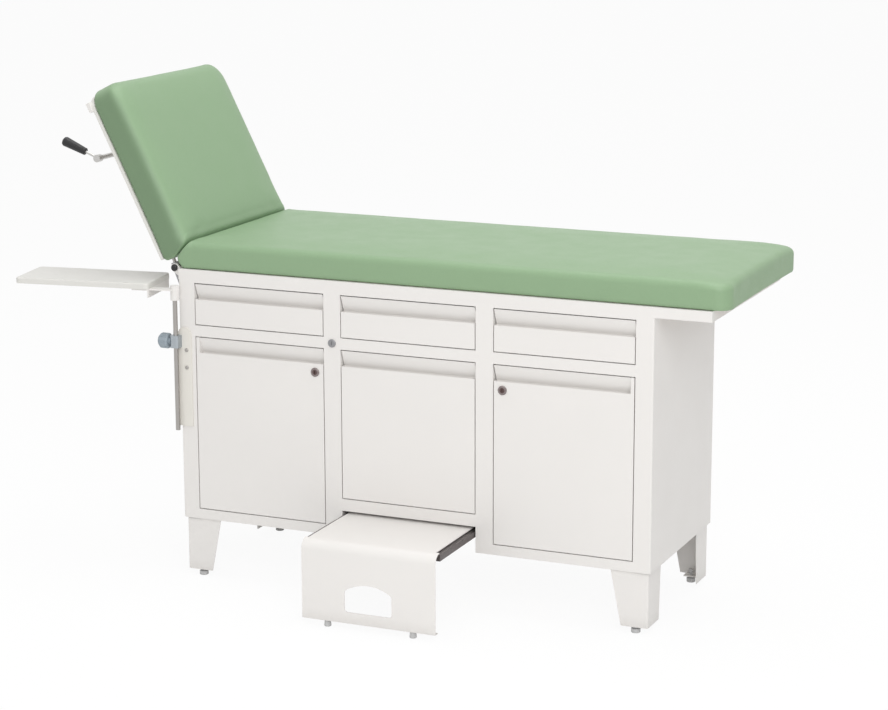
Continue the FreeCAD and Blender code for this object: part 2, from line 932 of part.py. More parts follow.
def lever_grip():
    """Tapered hand grip with a domed end, pushed on the lever rod."""
    length = lever_length - grip_start
    bore = lever_rod_radius + running_fit
    dome = grip_radius * grip_dome_share
    profile = [(bore, 0), (grip_inner_radius - 1, 0), (grip_inner_radius, 1), (grip_radius, length - dome)]
    for step in (30, 60):
        turn = math.radians(step)
        profile.append((grip_radius * math.cos(turn), length - dome + dome * math.sin(turn)))
    profile += [(0, length), (0, length - grip_wall_end), (bore, length - grip_wall_end)]
    return turned(profile, lever_point(lever_side, grip_start), lever_direction)


spring_arm = math.hypot(lever_along, lever_behind)
spring_foot_x = left - spring_foot_offset
spring_foot_z = hinge_z - math.sqrt(spring_arm ** 2 - (spring_foot_x - hinge_x) ** 2)
spring_foot = V(spring_foot_x, middle_y, spring_foot_z)
spring_head = lever_point(middle_y)
spring_direction = (spring_head - spring_foot).normalize()


def eye_ring(centre, bore):
    """Solid eye across Y and the cutter for its bore."""
    half = V(0, eye_width / 2, 0)
    ring = rod_between(centre - half, centre + half, bore + eye_wall)
    hole = rod_between(centre - half * 1.2, centre + half * 1.2, bore + running_fit)
    return ring, hole


def spring_cylinder():
    """Closed tube with a guided mouth, turning on the pin of its anchor."""
    ring, hole = eye_ring(spring_foot, anchor_pin)
    neck = spring_bore / 2
    mouth = spring_rod_radius + running_fit
    profile = [(0, 0), (neck, 0), (neck, spring_start), (spring_radius, spring_start)]
    profile += [(spring_radius, spring_end + spring_gland), (mouth, spring_end + spring_gland)]
    profile += [(mouth, spring_end), (spring_bore, spring_end)]
    profile += [(spring_bore, spring_floor), (0, spring_floor)]
    return joined(turned(profile, spring_foot, spring_direction), ring).cut(hole)


def spring_rod():
    """Piston rod that hangs from the lever shaft and slides in the cylinder."""
    ring, hole = eye_ring(spring_head, lever_shaft_radius)
    piston = spring_bore - 2 * running_fit
    top = spring_rod_length - piston_length
    profile = [(0, 0), (spring_rod_radius, 0), (spring_rod_radius, top), (piston, top)]
    profile += [(piston, spring_rod_length), (0, spring_rod_length)]
    return joined(turned(profile, spring_head, spring_direction * -1), ring).cut(hole)


def spring_anchor():
    """Bracket on the head wall of the cabinet with the pin for the gas spring."""
    inside = eye_width / 2 + lug_side_gap
    outside = inside + anchor_sheet
    half = anchor_height / 2
    face = left - anchor_sheet
    side = 2 * outside
    plate = box(face, left, middle_y - side, middle_y + side, spring_foot_z - half, spring_foot_z + half)
    pieces = [rod_between(spring_foot - V(0, outside, 0), spring_foot + V(0, outside, 0), anchor_pin)]
    root = half * ear_root_share
    chain = [(face, spring_foot_z - root), (face, spring_foot_z + root)]
    centre = (spring_foot_x, spring_foot_z)
    for y0, y1 in ((-outside, -inside), (inside, outside)):
        pieces.append(eye_plate(chain, centre, anchor_ear, 0, middle_y + y0, middle_y + y1))
    return joined(plate, *pieces)


# Arm board, its rod and its clamp

rod_x = left - rod_outboard
rod_y = front - rod_forward
board_under = board_top - board_thickness
rod_top = board_top - rod_head_drop
socket_radius = rod_radius + socket_wall


def swung(solid):
    """The board and its bracket stand a little forward of square."""
    turned_piece = solid.copy()
    turned_piece.rotate(V(rod_x, rod_y, 0), Z_AXIS, board_swing)
    return turned_piece


def arm_board():
    x1 = rod_x - board_reach
    x0 = x1 - board_length
    y0 = rod_y + board_setback
    y1 = y0 + board_width
    plank = box(x0, x1, y0, y1, board_under, board_top)
    plank = round_edges(plank, "z", [(x0, y0), (x0, y1), (x1, y0), (x1, y1)], board_corner)
    rim = [edge for edge in plank.Edges if edge.BoundBox.ZMin > board_top - 1e-3]
    return plank.makeFillet(board_edge, rim)


def board_bracket():
    """Angle along the end of the board, with a ledge under it and a web out to the socket on the rod."""
    end = rod_x - board_reach
    y0 = rod_y + board_setback
    path = [(end, board_under - bracket_lip), (end, board_under), (end - bracket_ledge, board_under)]
    angle = prism(fold(path, bracket_plate), "y", y0 + board_edge, y0 + board_width - board_corner)
    half = bracket_web / 2
    web = box(end - bracket_plate, rod_x, rod_y - half, rod_y + half,
              board_under - bracket_plate, board_under)
    seat = rod_top - socket_height
    socket = rod_between(V(rod_x, rod_y, seat), V(rod_x, rod_y, rod_top + bracket_plate), socket_radius)
    bore = rod_between(V(rod_x, rod_y, seat - 1), V(rod_x, rod_y, rod_top), rod_radius + running_fit)
    return joined(angle, web, socket).cut(bore)


def board_rod():
    return rod_between(V(rod_x, rod_y, rod_bottom), V(rod_x, rod_y, rod_top), rod_radius)


def clamp_block():
    """Block in front of the clamp plate, round the rod."""
    x0 = rod_x - rod_radius - clamp_wall
    y0 = rod_y - rod_radius - clamp_wall
    x1 = rod_x + rod_radius + clamp_wall
    half = clamp_height / 2
    block = box(x0, x1, y0, front - clamp_plate, clamp_level - half, clamp_level + half)
    return round_edges(block, "z", [(x0, y0), (x0, front - clamp_plate), (x1, y0)], clamp_wall)


def rod_clamp():
    """Plate on the head-end front stile with the clamp block of the rod."""
    x0 = left + clamp_plate_inset
    x1 = x0 + clamp_plate_width
    plate = box(x0, x1, front - clamp_plate, front, clamp_plate_bottom, clamp_plate_top)
    corner = clamp_plate_width * plate_top_share
    plate = round_edges(plate, "y", [(x0, clamp_plate_top), (x1, clamp_plate_top)], corner)
    body = joined(plate, clamp_block())
    bore = rod_between(V(rod_x, rod_y, rod_bottom - 1), V(rod_x, rod_y, rod_top), rod_radius + running_fit)
    screw = rod_between(V(rod_x, rod_y, clamp_level), V(rod_x - knob_length, rod_y, clamp_level),
                        clamp_screw_radius + running_fit)
    holes = [plate_screw_stem_at(level, running_fit) for level in plate_screw_levels]
    return body.cut([bore, screw] + holes)


def plate_screw_stem_at(level, play=0.0):
    """Stem of a screw through the clamp plate."""
    x = left + clamp_plate_inset + clamp_plate_width - plate_screw_inset
    return rod_between(V(x, front - clamp_plate, level), V(x, front, level), plate_screw_stem + play)


def plate_screw(level):
    """Round-headed screw that holds the clamp plate on the stile."""
    x = left + clamp_plate_inset + clamp_plate_width - plate_screw_inset
    face = front - clamp_plate
    head = rod_between(V(x, face - plate_screw_height, level), V(x, face, level), plate_screw_head)
    rim = [edge for edge in head.Edges if edge.BoundBox.YMax < face - plate_screw_height / 2]
    head = head.makeFillet(plate_screw_height * screw_dome_share, rim)
    return joined(head, plate_screw_stem_at(level))


def clamp_knob():
    """Fluted knob on the screw that pinches the rod."""
    tip = rod_radius + clamp_tip_gap
    face = rod_radius + clamp_wall + lug_side_gap
    hub = face + knob_neck_length
    end = hub + knob_length
    bevel = knob_radius * knob_bevel_share
    profile = [(0, tip), (clamp_screw_radius, tip), (clamp_screw_radius, face)]
    profile += [(knob_neck, face), (knob_neck, hub)]
    profile += [(knob_radius - bevel, hub), (knob_radius, hub + bevel), (knob_radius, end - 2 * bevel)]
    profile += [(knob_radius - 2 * bevel, end), (0, end)]
    origin = V(rod_x, rod_y, clamp_level)
    knob = turned(profile, origin, X_AXIS * -1)
    cutters = []
    for index in range(knob_flutes):
        turn = 2 * math.pi * index / knob_flutes
        side = V(0, math.cos(turn), math.sin(turn)) * (knob_radius + flute_radius * flute_offset_share)
        start = origin + side - X_AXIS * hub
        cutters.append(rod_between(start, origin + side - X_AXIS * (end + 1), flute_radius))
    return knob.cut(cutters)


def build():
    """Every node by name."""
    nodes = {}
    nodes["end_panel_left"] = end_panel()
    nodes["end_panel_right"] = mirrored(end_panel())
    x, z = centre_lock_place()
    nodes["partition_left"] = partition().cut(lock_hole(centre_lock_radius, x, z))
    nodes["partition_right"] = mirrored(partition())
    nodes["top_panel"] = top_panel()
    nodes["back_panel"] = back_panel()
    nodes["floor_left"] = floor_pan(0, cabinet_base, door_bottom)
    nodes["floor_middle"] = floor_pan(1, tunnel_top, deep_bottom)
    nodes["floor_right"] = floor_pan(2, cabinet_base, door_bottom)
    nodes["front_rails"] = group([front_rail(index) for index in range(3)])
    nodes["shelf_left"] = shelf(0)
    nodes["shelf_right"] = shelf(2)

    for index, side in enumerate(("left", "middle", "right")):
        nodes["drawer_front_" + side] = drawer_front(index, drawer_bottom, drawer_top)
        nodes["drawer_box_" + side] = tray(index, drawer_bottom, tray_height)
    nodes["deep_drawer_front"] = drawer_front(1, deep_bottom, door_top)
    nodes["deep_drawer_box"] = tray(1, deep_bottom, deep_tray_height)
    runners = []
    for index in range(3):
        runners += runner_pair(index, drawer_bottom)
    nodes["drawer_runners"] = group(runners + runner_pair(1, deep_bottom))

    nodes["door_left"] = door()
    nodes["door_right"] = mirrored(door())
    nodes["door_pivots"] = door_pivots()
    nodes["lock_left"] = door_lock()
    nodes["lock_right"] = mirrored(door_lock())
    nodes["lock_strikes"] = group([lock_strike(), mirrored(lock_strike())])
    nodes["lock_centre"] = centre_lock()

    for name, solid in zip(("front_left", "front_right", "back_left", "back_right"), four_corners(leg())):
        nodes["leg_" + name] = solid
    nodes["levelling_feet"] = group(four_corners(levelling_foot()))

    nodes["step_tread"] = step_tread()
    nodes["step_slides"] = group([step_slide(), mirrored(step_slide())])
    nodes["step_runners"] = group([step_runner(), mirrored(step_runner())])
    nodes["step_feet"] = group([step_foot(), mirrored(step_foot())])

    nodes["frame_front"] = frame_member(0)
    nodes["frame_foot"] = frame_member(1)
    nodes["frame_back"] = frame_member(2)
    nodes["frame_head"] = frame_head()
    nodes["hinge_rod"] = hinge_rod()
    nodes["mattress_board"] = mattress_board()
    nodes["mattress_pad"] = mattress_pad()

    nodes["backrest_pad"] = raised(backrest_pad())
    nodes["backrest_board"] = raised(backrest_board_panel())
    arms = [raised(backrest_arm(middle_y + side * arm_spread)) for side in (-1, 1)]
    nodes["backrest_arms"] = group(arms)
    nodes["head_bar"] = raised(head_bar())
    nodes["spring_bracket"] = raised(spring_bracket())
    nodes["release_lever"] = release_lever()
    nodes["lever_grip"] = lever_grip()
    nodes["spring_cylinder"] = spring_cylinder()
    nodes["spring_rod"] = spring_rod()
    nodes["spring_anchor"] = spring_anchor()

    nodes["arm_board"] = swung(arm_board())
    nodes["board_bracket"] = swung(board_bracket())
    nodes["board_rod"] = board_rod()
    nodes["rod_clamp"] = rod_clamp()
    nodes["clamp_knob"] = clamp_knob()
    nodes["clamp_screws"] = group([plate_screw(level) for level in plate_screw_levels])
    return nodes


os.makedirs("parts", exist_ok=True)
for node_name, node_shape in build().items():
    node_shape.exportStep("parts/%s.step" % node_name)
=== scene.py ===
"""Looks of the examination table: finishes, cushions, small fixings and the studio round it."""
import json
import math

import bmesh
import bpy
from bpy.props import FloatProperty, FloatVectorProperty, IntProperty, PointerProperty
from mathutils import Matrix, Vector, noise


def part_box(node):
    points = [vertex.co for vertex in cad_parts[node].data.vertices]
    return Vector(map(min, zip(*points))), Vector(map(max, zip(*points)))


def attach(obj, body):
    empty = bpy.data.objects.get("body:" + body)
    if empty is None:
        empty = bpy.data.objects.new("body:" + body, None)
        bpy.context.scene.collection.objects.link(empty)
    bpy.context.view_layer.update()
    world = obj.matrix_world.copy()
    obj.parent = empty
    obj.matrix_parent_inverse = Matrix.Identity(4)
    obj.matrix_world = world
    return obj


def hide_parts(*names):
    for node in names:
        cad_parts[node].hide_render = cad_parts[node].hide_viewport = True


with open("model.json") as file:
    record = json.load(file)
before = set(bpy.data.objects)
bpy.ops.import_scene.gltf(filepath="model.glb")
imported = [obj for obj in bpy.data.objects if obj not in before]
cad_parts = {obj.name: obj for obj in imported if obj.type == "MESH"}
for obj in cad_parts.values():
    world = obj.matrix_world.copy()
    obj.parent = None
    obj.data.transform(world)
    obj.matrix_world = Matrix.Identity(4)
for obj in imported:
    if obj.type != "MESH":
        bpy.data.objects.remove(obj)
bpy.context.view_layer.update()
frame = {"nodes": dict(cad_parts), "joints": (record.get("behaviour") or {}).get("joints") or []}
JOINTS = {joint["name"]: joint for joint in frame["joints"]}
HINGE = Vector(JOINTS["backrest_hinge"]["pos_m"])
RAISED = math.radians(-JOINTS["backrest_hinge"]["range_deg"][0])
NEAR = 1e-5

# Shapes of screw heads, caps and tabs, as shares of their own size
STUD_TAPER = 0.78
STUD_ROUND = 0.3
SOCKET_INSET = 0.30
SOCKET_SLOPE = 0.04
SOCKET_DEPTH = 0.5
CAP_DOME = 0.55
CAP_FOOT = 0.06
TAB_ROUND = 0.35
TAB_SCREW_SPREAD = 0.25
TAB_SCREW_SIZE = 0.8

# Share of half a cushion's height over which the unevenness of its cover grows
RIPPLE_START = 0.6

bl_info = {
    "name": "Examination table",
    "version": (1, 0, 0),
    "blender": (4, 5, 0),
    "location": "3D View > Sidebar > Table",
    "description": "Finishes, cushions and fixings of an examination table in a plain studio",
    "category": "Object",
}


def length(name, description, default):
    return FloatProperty(name=name, description=description, default=default, unit="LENGTH", precision=4)


def share(name, description, default):
    return amount(name, description, default, max=1.0, subtype="FACTOR")


def amount(name, description, default, least=0.0, **more):
    return FloatProperty(name=name, description=description, default=default, min=least, **more)


def numbers(name, description, default, unit="LENGTH"):
    return FloatVectorProperty(name=name, description=description, default=default, size=len(default),
                               unit=unit)


def colour(name, description, default):
    return FloatVectorProperty(name=name, description=description, default=default, size=3, min=0.0, max=1.0,
                               subtype="COLOR")


class TableFinishes(bpy.types.PropertyGroup):
    """Colours and grain of the surfaces."""
    enamel: colour("Enamel", "Baked enamel of the cabinet, step and legs", (0.78, 0.758, 0.735))
    warm_enamel: colour("Warm enamel", "Creamier enamel of the clamp plate", (0.76, 0.735, 0.68))
    inner_enamel: colour("Inner enamel", "Enamel of the drawer boxes and shelves", (0.74, 0.73, 0.71))
    scuff: colour("Scuff", "Grime near the floor", (0.36, 0.33, 0.29))
    scuff_height: length("Scuff height", "Height at which the grime fades out", 0.045)
    vinyl: colour("Vinyl", "Coated cloth of both cushions", (0.268, 0.398, 0.235))
    vinyl_valley: colour("Vinyl valley", "Coated cloth between the pebbles", (0.232, 0.352, 0.205))
    # Painted shade: shares by which the backrest's sides are darkened, standing in for the shade that falls
    # on them
    side_shade_tint: colour("Side shade", "Painted shade of the backrest's sides, as shares of the cover's colour", (0.66, 0.68, 0.66))
    side_shade_from: share("Side shade start", "How far aside the cover faces where the painted side shade begins", 0.55)
    pebble: length("Pebble", "Size of a pebble of the vinyl's grain", 0.0013)
    laminate: colour("Laminate", "Coating of the arm board and the backrest's rear", (0.71, 0.70, 0.665))
    plywood: colour("Plywood", "Base board of the mattress", (0.56, 0.41, 0.26))
    steel: colour("Satin steel", "Rods, screws and pivots", (0.46, 0.44, 0.42))
    bright: colour("Bright steel", "Hand lever", (0.66, 0.65, 0.63))
    clamp: colour("Clamp block", "Cast block of the rod clamp", (0.42, 0.46, 0.49))
    clamp_plate: length("Clamp plate", "Thickness of the painted plate behind the clamp block", 0.003)
    zinc: colour("Zinc plate", "Runners of the drawers and gas spring", (0.36, 0.36, 0.37))
    # Partly painted shade: the slides are dark steel, made darker still to stand in for the shade in the gap
    # beside the step
    dark_steel_and_gap_shade: colour("Dark steel with painted gap shade", "Slides and channels of the step", (0.19, 0.17, 0.17))
    lock_rim: colour("Lock rim", "Bronze rim of a door lock", (0.30, 0.255, 0.25))
    lock_plug: colour("Lock plug", "Turning plug of a door lock", (0.13, 0.09, 0.085))
    plug_radius: length("Plug radius", "Radius of that plug", 0.0066)
    grip: colour("Grip", "Black hand grip and end caps", (0.013, 0.013, 0.014))
    knob: colour("Knob", "Blue-grey knob of the rod clamp", (0.30, 0.35, 0.39))
    foot: colour("Foot", "Grey plastic feet", (0.52, 0.52, 0.52))


class TableCushions(bpy.types.PropertyGroup):
    """Sizes of the two cushions and how they swell."""
    mesh_size: length("Mesh size", "Spacing of the cover's points while it swells", 0.012)
    pressure: amount("Pressure", "Push of the foam on its cover", 4.0)
    frames: IntProperty(name="Frames", description="Steps of the swelling", default=20, min=2)
    swell: length("Swell", "Most that a point of the cover moves", 0.0035)
    hinge_swell: length("Swell at the hinge", "Most that the ends next to the hinge move out", 0.002)
    mattress_edge: length("Mattress edge", "Rounding of the mattress's top edges", 0.018)
    backrest_edge: length("Backrest edge", "Rounding of the backrest's front edges", 0.028)
    base_edge: length("Base edge", "Rounding of the lower edges", 0.005)
    foot_corner: length("Foot corner", "Plan radius of the mattress's outer corners", 0.040)
    head_corner: length("Head corner", "Plan radius of the backrest's outer corners", 0.054)
    hinge_corner: length("Hinge corner", "Size of the corners next to the hinge", 0.030)
    hinge_power: amount("Hinge power", "Squareness of the corners next to the hinge", 6.0, 2.0)
    loft: length("Loft", "How far the mattress's top swells above its solid", 0.009)
    crown: length("Crown", "Rise of the top towards its middle", 0.004)
    crown_run: length("Crown run", "Distance from the edge over which the top rises", 0.11)
    droop: length("Droop", "How far the outer corners of the top sink", 0.010)
    droop_run: length("Droop run", "Distance from a corner's sides over which the top sinks", 0.10)
    draw: length("Draw", "How far the sides pull in between the corners", 0.0025)
    tuck: length("Tuck", "How far the backrest's sides pull in towards its board", 0.003)
    ripple: length("Ripple", "Unevenness of the cover", 0.0007)
    ripple_size: length("Ripple size", "Distance between high spots of the cover", 0.16)
    seat_gap: length("Seat gap", "Distance of the cover from its board", 0.0006)
    backrest_gap: length("Backrest gap", "Distance of the backrest cushion from the hinge", 0.020)
    backrest_length: length("Backrest length", "Length of the backrest cushion", 0.483)
    backrest_thickness: length("Backrest thickness", "Thickness of the backrest cushion", 0.082)
    backrest_drop: length("Backrest drop", "Base of the flat backrest cushion below the hinge", 0.020)
    backrest_lean: length("Backrest lean", "Slant of the end next to the hinge", 0.020)
    lean_rise: length("Lean rise", "Height above its board at which that slant begins", 0.030)
    press_gap: length("Press gap", "Distance between the two cushions where they meet", 0.001)
    nose: length("Nose", "Swell of the mattress's head end under the backrest", 0.011)
    nose_rise: length("Nose rise", "Height above the frame at which it swells most", 0.024)
    nose_run: length("Nose run", "Length of a cushion that follows the shape of its hinge end", 0.12)


class TableFixings(bpy.types.PropertyGroup):
    """Sizes of screws, tabs and caps."""
    screw_radius: length("Screw head", "Radius of a screw head", 0.0048)
    screw_height: length("Screw height", "Height of a screw head", 0.0026)
    board_thickness: length("Board thickness", "Thickness of the backrest's board", 0.008)
    tab_places: numbers("Tab places", "Distances of the tabs from the hinge", (0.11, 0.245, 0.40))
    tab_overlap: length("Tab overlap", "How far a fixing tab reaches under its arm", 0.006)
    tab_width: length("Tab width", "Width of a fixing tab along its arm", 0.034)
    tab_reach: length("Tab reach", "Reach of a fixing tab across the board", 0.024)
    tab_sheet: length("Tab sheet", "Thickness of a fixing tab", 0.0025)
    bracket_places: numbers("Bracket places", "Distances of its screws from the hinge", (0.276, 0.343, 0.410))
    bracket_inset: length("Bracket inset", "Distance of its screws from the bracket's sides", 0.022)
    bracket_sheet: length("Bracket sheet", "Thickness of the spring bracket", 0.003)
    anchor_sheet: length("Anchor sheet", "Thickness of the spring anchor", 0.004)
    anchor_side: length("Anchor side", "Distance of its screws from the anchor's sides", 0.007)
    anchor_end: length("Anchor end", "Distance of its screws from the anchor's ends", 0.010)
    panel_side: length("Panel side", "Distance of the back panel's screws from its sides", 0.022)
    panel_end: length("Panel end", "Distance of its screws from its top and base", 0.013)
    panel_columns: IntProperty(name="Panel columns", description="Screws along the back panel",
                               default=7, min=2)
    panel_rows: numbers("Panel rows", "Heights of its side screws, as shares", (0.33, 0.67), "NONE")
    cap_radius: length("Cap radius", "Radius of a cap of the hinge rod", 0.0088)
    cap_length: length("Cap length", "Length of a cap of the hinge rod", 0.0068)
    cap_overlap: length("Cap overlap", "How far a cap covers the hinge rod", 0.003)
    shaft_overlap: length("Shaft overlap", "How far a cap covers the lever's shaft", 0.004)
    shaft_cap_radius: length("Shaft cap radius", "Radius of the cap of the lever's shaft", 0.00924)


class TableStudio(bpy.types.PropertyGroup):
    """Camera, floor and lamps."""
    camera_place: numbers("Camera", "Place of the camera", (2.47639, -5.72544, 1.99517))
    camera_turn: numbers("Camera turn", "Rotation of the camera", (1.350099, 0.002461, 0.408390), "ROTATION")
    lens: amount("Lens", "Focal length in millimetres", 101.25, 10.0)
    reach: length("Reach", "How far the camera sees", 200.0)
    floor_size: length("Floor size", "Side of the floor", 90.0)
    floor: colour("Floor", "Pale studio floor", (0.93, 0.93, 0.925))
    floor_glow: share("Floor glow", "How much of the floor is plain white to the camera", 0.93)
    sky: amount("Sky", "Strength of the even light", 0.56)
    key: amount("Key", "Power of the large lamp in front", 150.0, unit="POWER")
    key_place: numbers("Key place", "Place of the large lamp in front", (2.4, -4.6, 3.7))
    top: amount("Top", "Power of the lamp overhead", 95.0, unit="POWER")
    top_place: numbers("Top place", "Place of the lamp overhead", (0.3, 0.2, 5.0))
    lamp_size: length("Lamp size", "Width of both lamps", 4.0)
    lamp_aim: length("Lamp aim", "Height at which both lamps point", 0.5)


# Meshes

def new_object(name, data):
    item = bpy.data.objects.new(name, data)
    bpy.context.scene.collection.objects.link(item)
    return item


def new_piece(name, shape, smooth=True):
    """Object of a bmesh, with its place in its mesh and its normals outwards."""
    bmesh.ops.recalc_face_normals(shape, faces=shape.faces[:])
    mesh = bpy.data.meshes.new(name)
    shape.to_mesh(mesh)
    shape.free()
    if smooth:
        mesh.shade_smooth()
    return new_object(name, mesh)


def finish_piece(piece, body, material):
    piece.data.materials.append(material)
    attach(piece, body)


def fixing(name, shape, body, finish, smooth=False):
    """Piece from a bmesh, with one of the finishes already made."""
    finish_piece(new_piece(name, shape, smooth), body, MADE[finish])


def inside(low, high, axis, distance):
    """Two places along an axis, each at a distance inside a box."""
    return low[axis] + distance, high[axis] - distance


def facing(direction):
    """Rotation that turns +Z to a direction."""
    return Vector((0.0, 0.0, 1.0)).rotation_difference(Vector(direction)).to_matrix().to_4x4()


def raised_matrix():
    return Matrix.Translation(HINGE) @ Matrix.Rotation(RAISED, 4, "Y") @ Matrix.Translation(-HINGE)


def bevel(shape, edges, width, segments):
    bmesh.ops.bevel(shape, geom=list(edges), offset=width, offset_type="OFFSET", affect="EDGES",
                    segments=segments, profile=0.5, material=-1)


def add_shape(shape, part, matrix):
    """Move a bmesh into place, add it to another and free it."""
    bmesh.ops.transform(part, verts=part.verts, matrix=matrix)
    mesh = bpy.data.meshes.new("part")
    part.to_mesh(mesh)
    part.free()
    shape.from_mesh(mesh)
    bpy.data.meshes.remove(mesh)


def cylinder(segments, radius, top_radius, height):
    """Closed cylinder or cone that stands on the origin."""
    shape = bmesh.new()
    bmesh.ops.create_cone(shape, cap_ends=True, segments=segments, radius1=radius, radius2=top_radius,
                          depth=height)
    bmesh.ops.translate(shape, verts=shape.verts, vec=(0, 0, height / 2))
    return shape


def edges_at(shape, axis, level):
    """Edges that lie in a plane across an axis."""
    return [edge for edge in shape.edges if all(abs(vert.co[axis] - level) < NEAR for vert in edge.verts)]


def upright(edge):
    """True for an edge between two heights."""
    return abs(edge.verts[0].co.z - edge.verts[1].co.z) > NEAR


def add_stud(shape, spot, direction, radius, height):
    """Round screw head with a socket in it, added to a bmesh."""
    stud = cylinder(16, radius, radius * STUD_TAPER, height)
    bevel(stud, edges_at(stud, 2, height), height * STUD_ROUND, 2)
    stud.faces.ensure_lookup_table()
    top = max((face for face in stud.faces if face.normal.z > 0.99), key=lambda face: face.calc_area())
    bmesh.ops.inset_region(stud, faces=[top], thickness=radius * SOCKET_INSET, use_even_offset=True)
    bmesh.ops.inset_region(stud, faces=[top], thickness=radius * SOCKET_SLOPE, depth=-height * SOCKET_DEPTH,
                           use_even_offset=True)
    add_shape(shape, stud, Matrix.Translation(spot) @ facing(direction))


def add_cap(shape, spot, direction, radius, depth):
    """Domed push-on cap, added to a bmesh."""
    cap = cylinder(28, radius, radius, depth)
    bevel(cap, edges_at(cap, 2, depth), min(radius, depth) * CAP_DOME, 4)
    bevel(cap, edges_at(cap, 2, 0.0), depth * CAP_FOOT, 2)
    add_shape(shape, cap, Matrix.Translation(spot) @ facing(direction))


# Cushions

def slice_block(shape, axis, first, last, spacing):
    """Cut a block across an axis into even slices between two places."""
    across = Vector((0.0, 0.0, 0.0))
    across[axis] = 1.0
    count = max(1, round((last - first) / spacing))
    for index in range(count + 1):
        spot = across * (first + (last - first) * index / count)
        everything = shape.verts[:] + shape.edges[:] + shape.faces[:]
        bmesh.ops.bisect_plane(shape, geom=everything, dist=NEAR, plane_co=spot, plane_no=across)


def pad_block(low, high, head_radius, foot_radius, edge, cushions):
    """Rounded block: plan radii for its head and foot ends, and rounded top and base edges."""
    shape = bmesh.new()
    bmesh.ops.create_cube(shape, size=1.0)
    bmesh.ops.scale(shape, verts=shape.verts, vec=high - low)
    bmesh.ops.translate(shape, verts=shape.verts, vec=(low + high) / 2)
    for end, radius in ((low.x, head_radius), (high.x, foot_radius)):
        bevel(shape, [line for line in edges_at(shape, 0, end) if upright(line)], radius, 8)
    bevel(shape, edges_at(shape, 2, high.z), edge, 5)
    bevel(shape, edges_at(shape, 2, low.z), cushions.base_edge, 2)
    margin = max(head_radius, foot_radius)
    slice_block(shape, 0, low.x + head_radius, high.x - foot_radius, cushions.mesh_size)
    slice_block(shape, 1, low.y + margin, high.y - margin, cushions.mesh_size)
    slice_block(shape, 2, low.z + cushions.base_edge, high.z - edge, cushions.mesh_size / 2)
    return shape


def held(value, least=0.0, most=1.0):
    return min(most, max(least, value))


def swell_nose(shape, low, high, edge, cushions):
    """Let the head end of the mattress swell out under the backrest."""
    peak = low.z + cushions.nose_rise
    ends = (low.z + cushions.base_edge, high.z - edge)
    for vert in shape.verts:
        reach = 1 - held((vert.co.x - low.x) / cushions.nose_run)
        span = peak - ends[0] if vert.co.z < peak else ends[1] - peak
        rise = max(0.0, 1 - abs(vert.co.z - peak) / span)
        vert.co.x -= cushions.nose * reach * rise * (2 - rise)


def squared(first, second, power):
    """Stretch that makes a round corner squarer at a place in it."""
    if first <= 0 or second <= 0:
        return 1.0
    reach = math.hypot(first, second)
    return ((first / reach) ** power + (second / reach) ** power) ** (-1 / power)


def square_corners(shape, low, high, side, cushions):
    """Make a block's plan corners squarer at the end next to the hinge; side is 1 for its +X end."""
    radius = cushions.hinge_corner
    end = high.x if side > 0 else low.x
    for vert in shape.verts:
        along = side * (vert.co.x - end) + radius
        for edge, turn in ((low.y, -1), (high.y, 1)):
            across = turn * (vert.co.y - edge) + radius
            stretch = squared(along, across, cushions.hinge_power)
            vert.co.x += side * along * (stretch - 1)
            vert.co.y += turn * across * (stretch - 1)


def square_edge(shape, high, edge, cushions):
    """Make the backrest's front edge next to the hinge squarer."""
    for vert in shape.verts:
        along = vert.co.x - high.x + edge
        rise = vert.co.z - high.z + edge
        stretch = squared(along, rise, cushions.hinge_power)
        vert.co.x += along * (stretch - 1)
        vert.co.z += rise * (stretch - 1)


def lean_back(shape, low, high, cushions):
    """Slant the upper part of the backrest's hinge end away from the mattress."""
    start = low.z + cushions.lean_rise
    for vert in shape.verts:
        reach = 1 - held((high.x - vert.co.x) / cushions.nose_run)
        rise = held((vert.co.z - start) / (high.z - start))
        vert.co.x -= cushions.backrest_lean * reach * rise


def meeting_line(cushions):
    """Lower and upper end of the line where the flat backrest cushion's hinge end slants."""
    near = HINGE.x - cushions.backrest_gap
    base = HINGE.z - cushions.backrest_drop
    lower = Vector((near, 0.0, base + cushions.lean_rise))
    upper = Vector((near - cushions.backrest_lean, 0.0, base + cushions.backrest_thickness))
    return lower, upper


def press(piece, lower, upper, side, gap):
    """Flatten a cushion against the line where it meets the other; side is 1 for the cushion at -X."""
    slope = (upper.x - lower.x) / (upper.z - lower.z)
    for vert in piece.data.vertices:
        limit = lower.x + slope * max(0.0, vert.co.z - lower.z) - side * gap
        if side * (vert.co.x - limit) > 0 and vert.co.z > lower.z:
            vert.co.x = limit


def evaluated(piece):
    """New mesh of an object with its modifiers."""
    graph = bpy.context.evaluated_depsgraph_get()
    return bpy.data.meshes.new_from_object(piece.evaluated_get(graph))


def take_mesh(piece, mesh):
    """Give an object a mesh in place of its modifiers and its old mesh."""
    old = piece.data
    piece.modifiers.clear()
    piece.data = mesh
    bpy.data.meshes.remove(old)


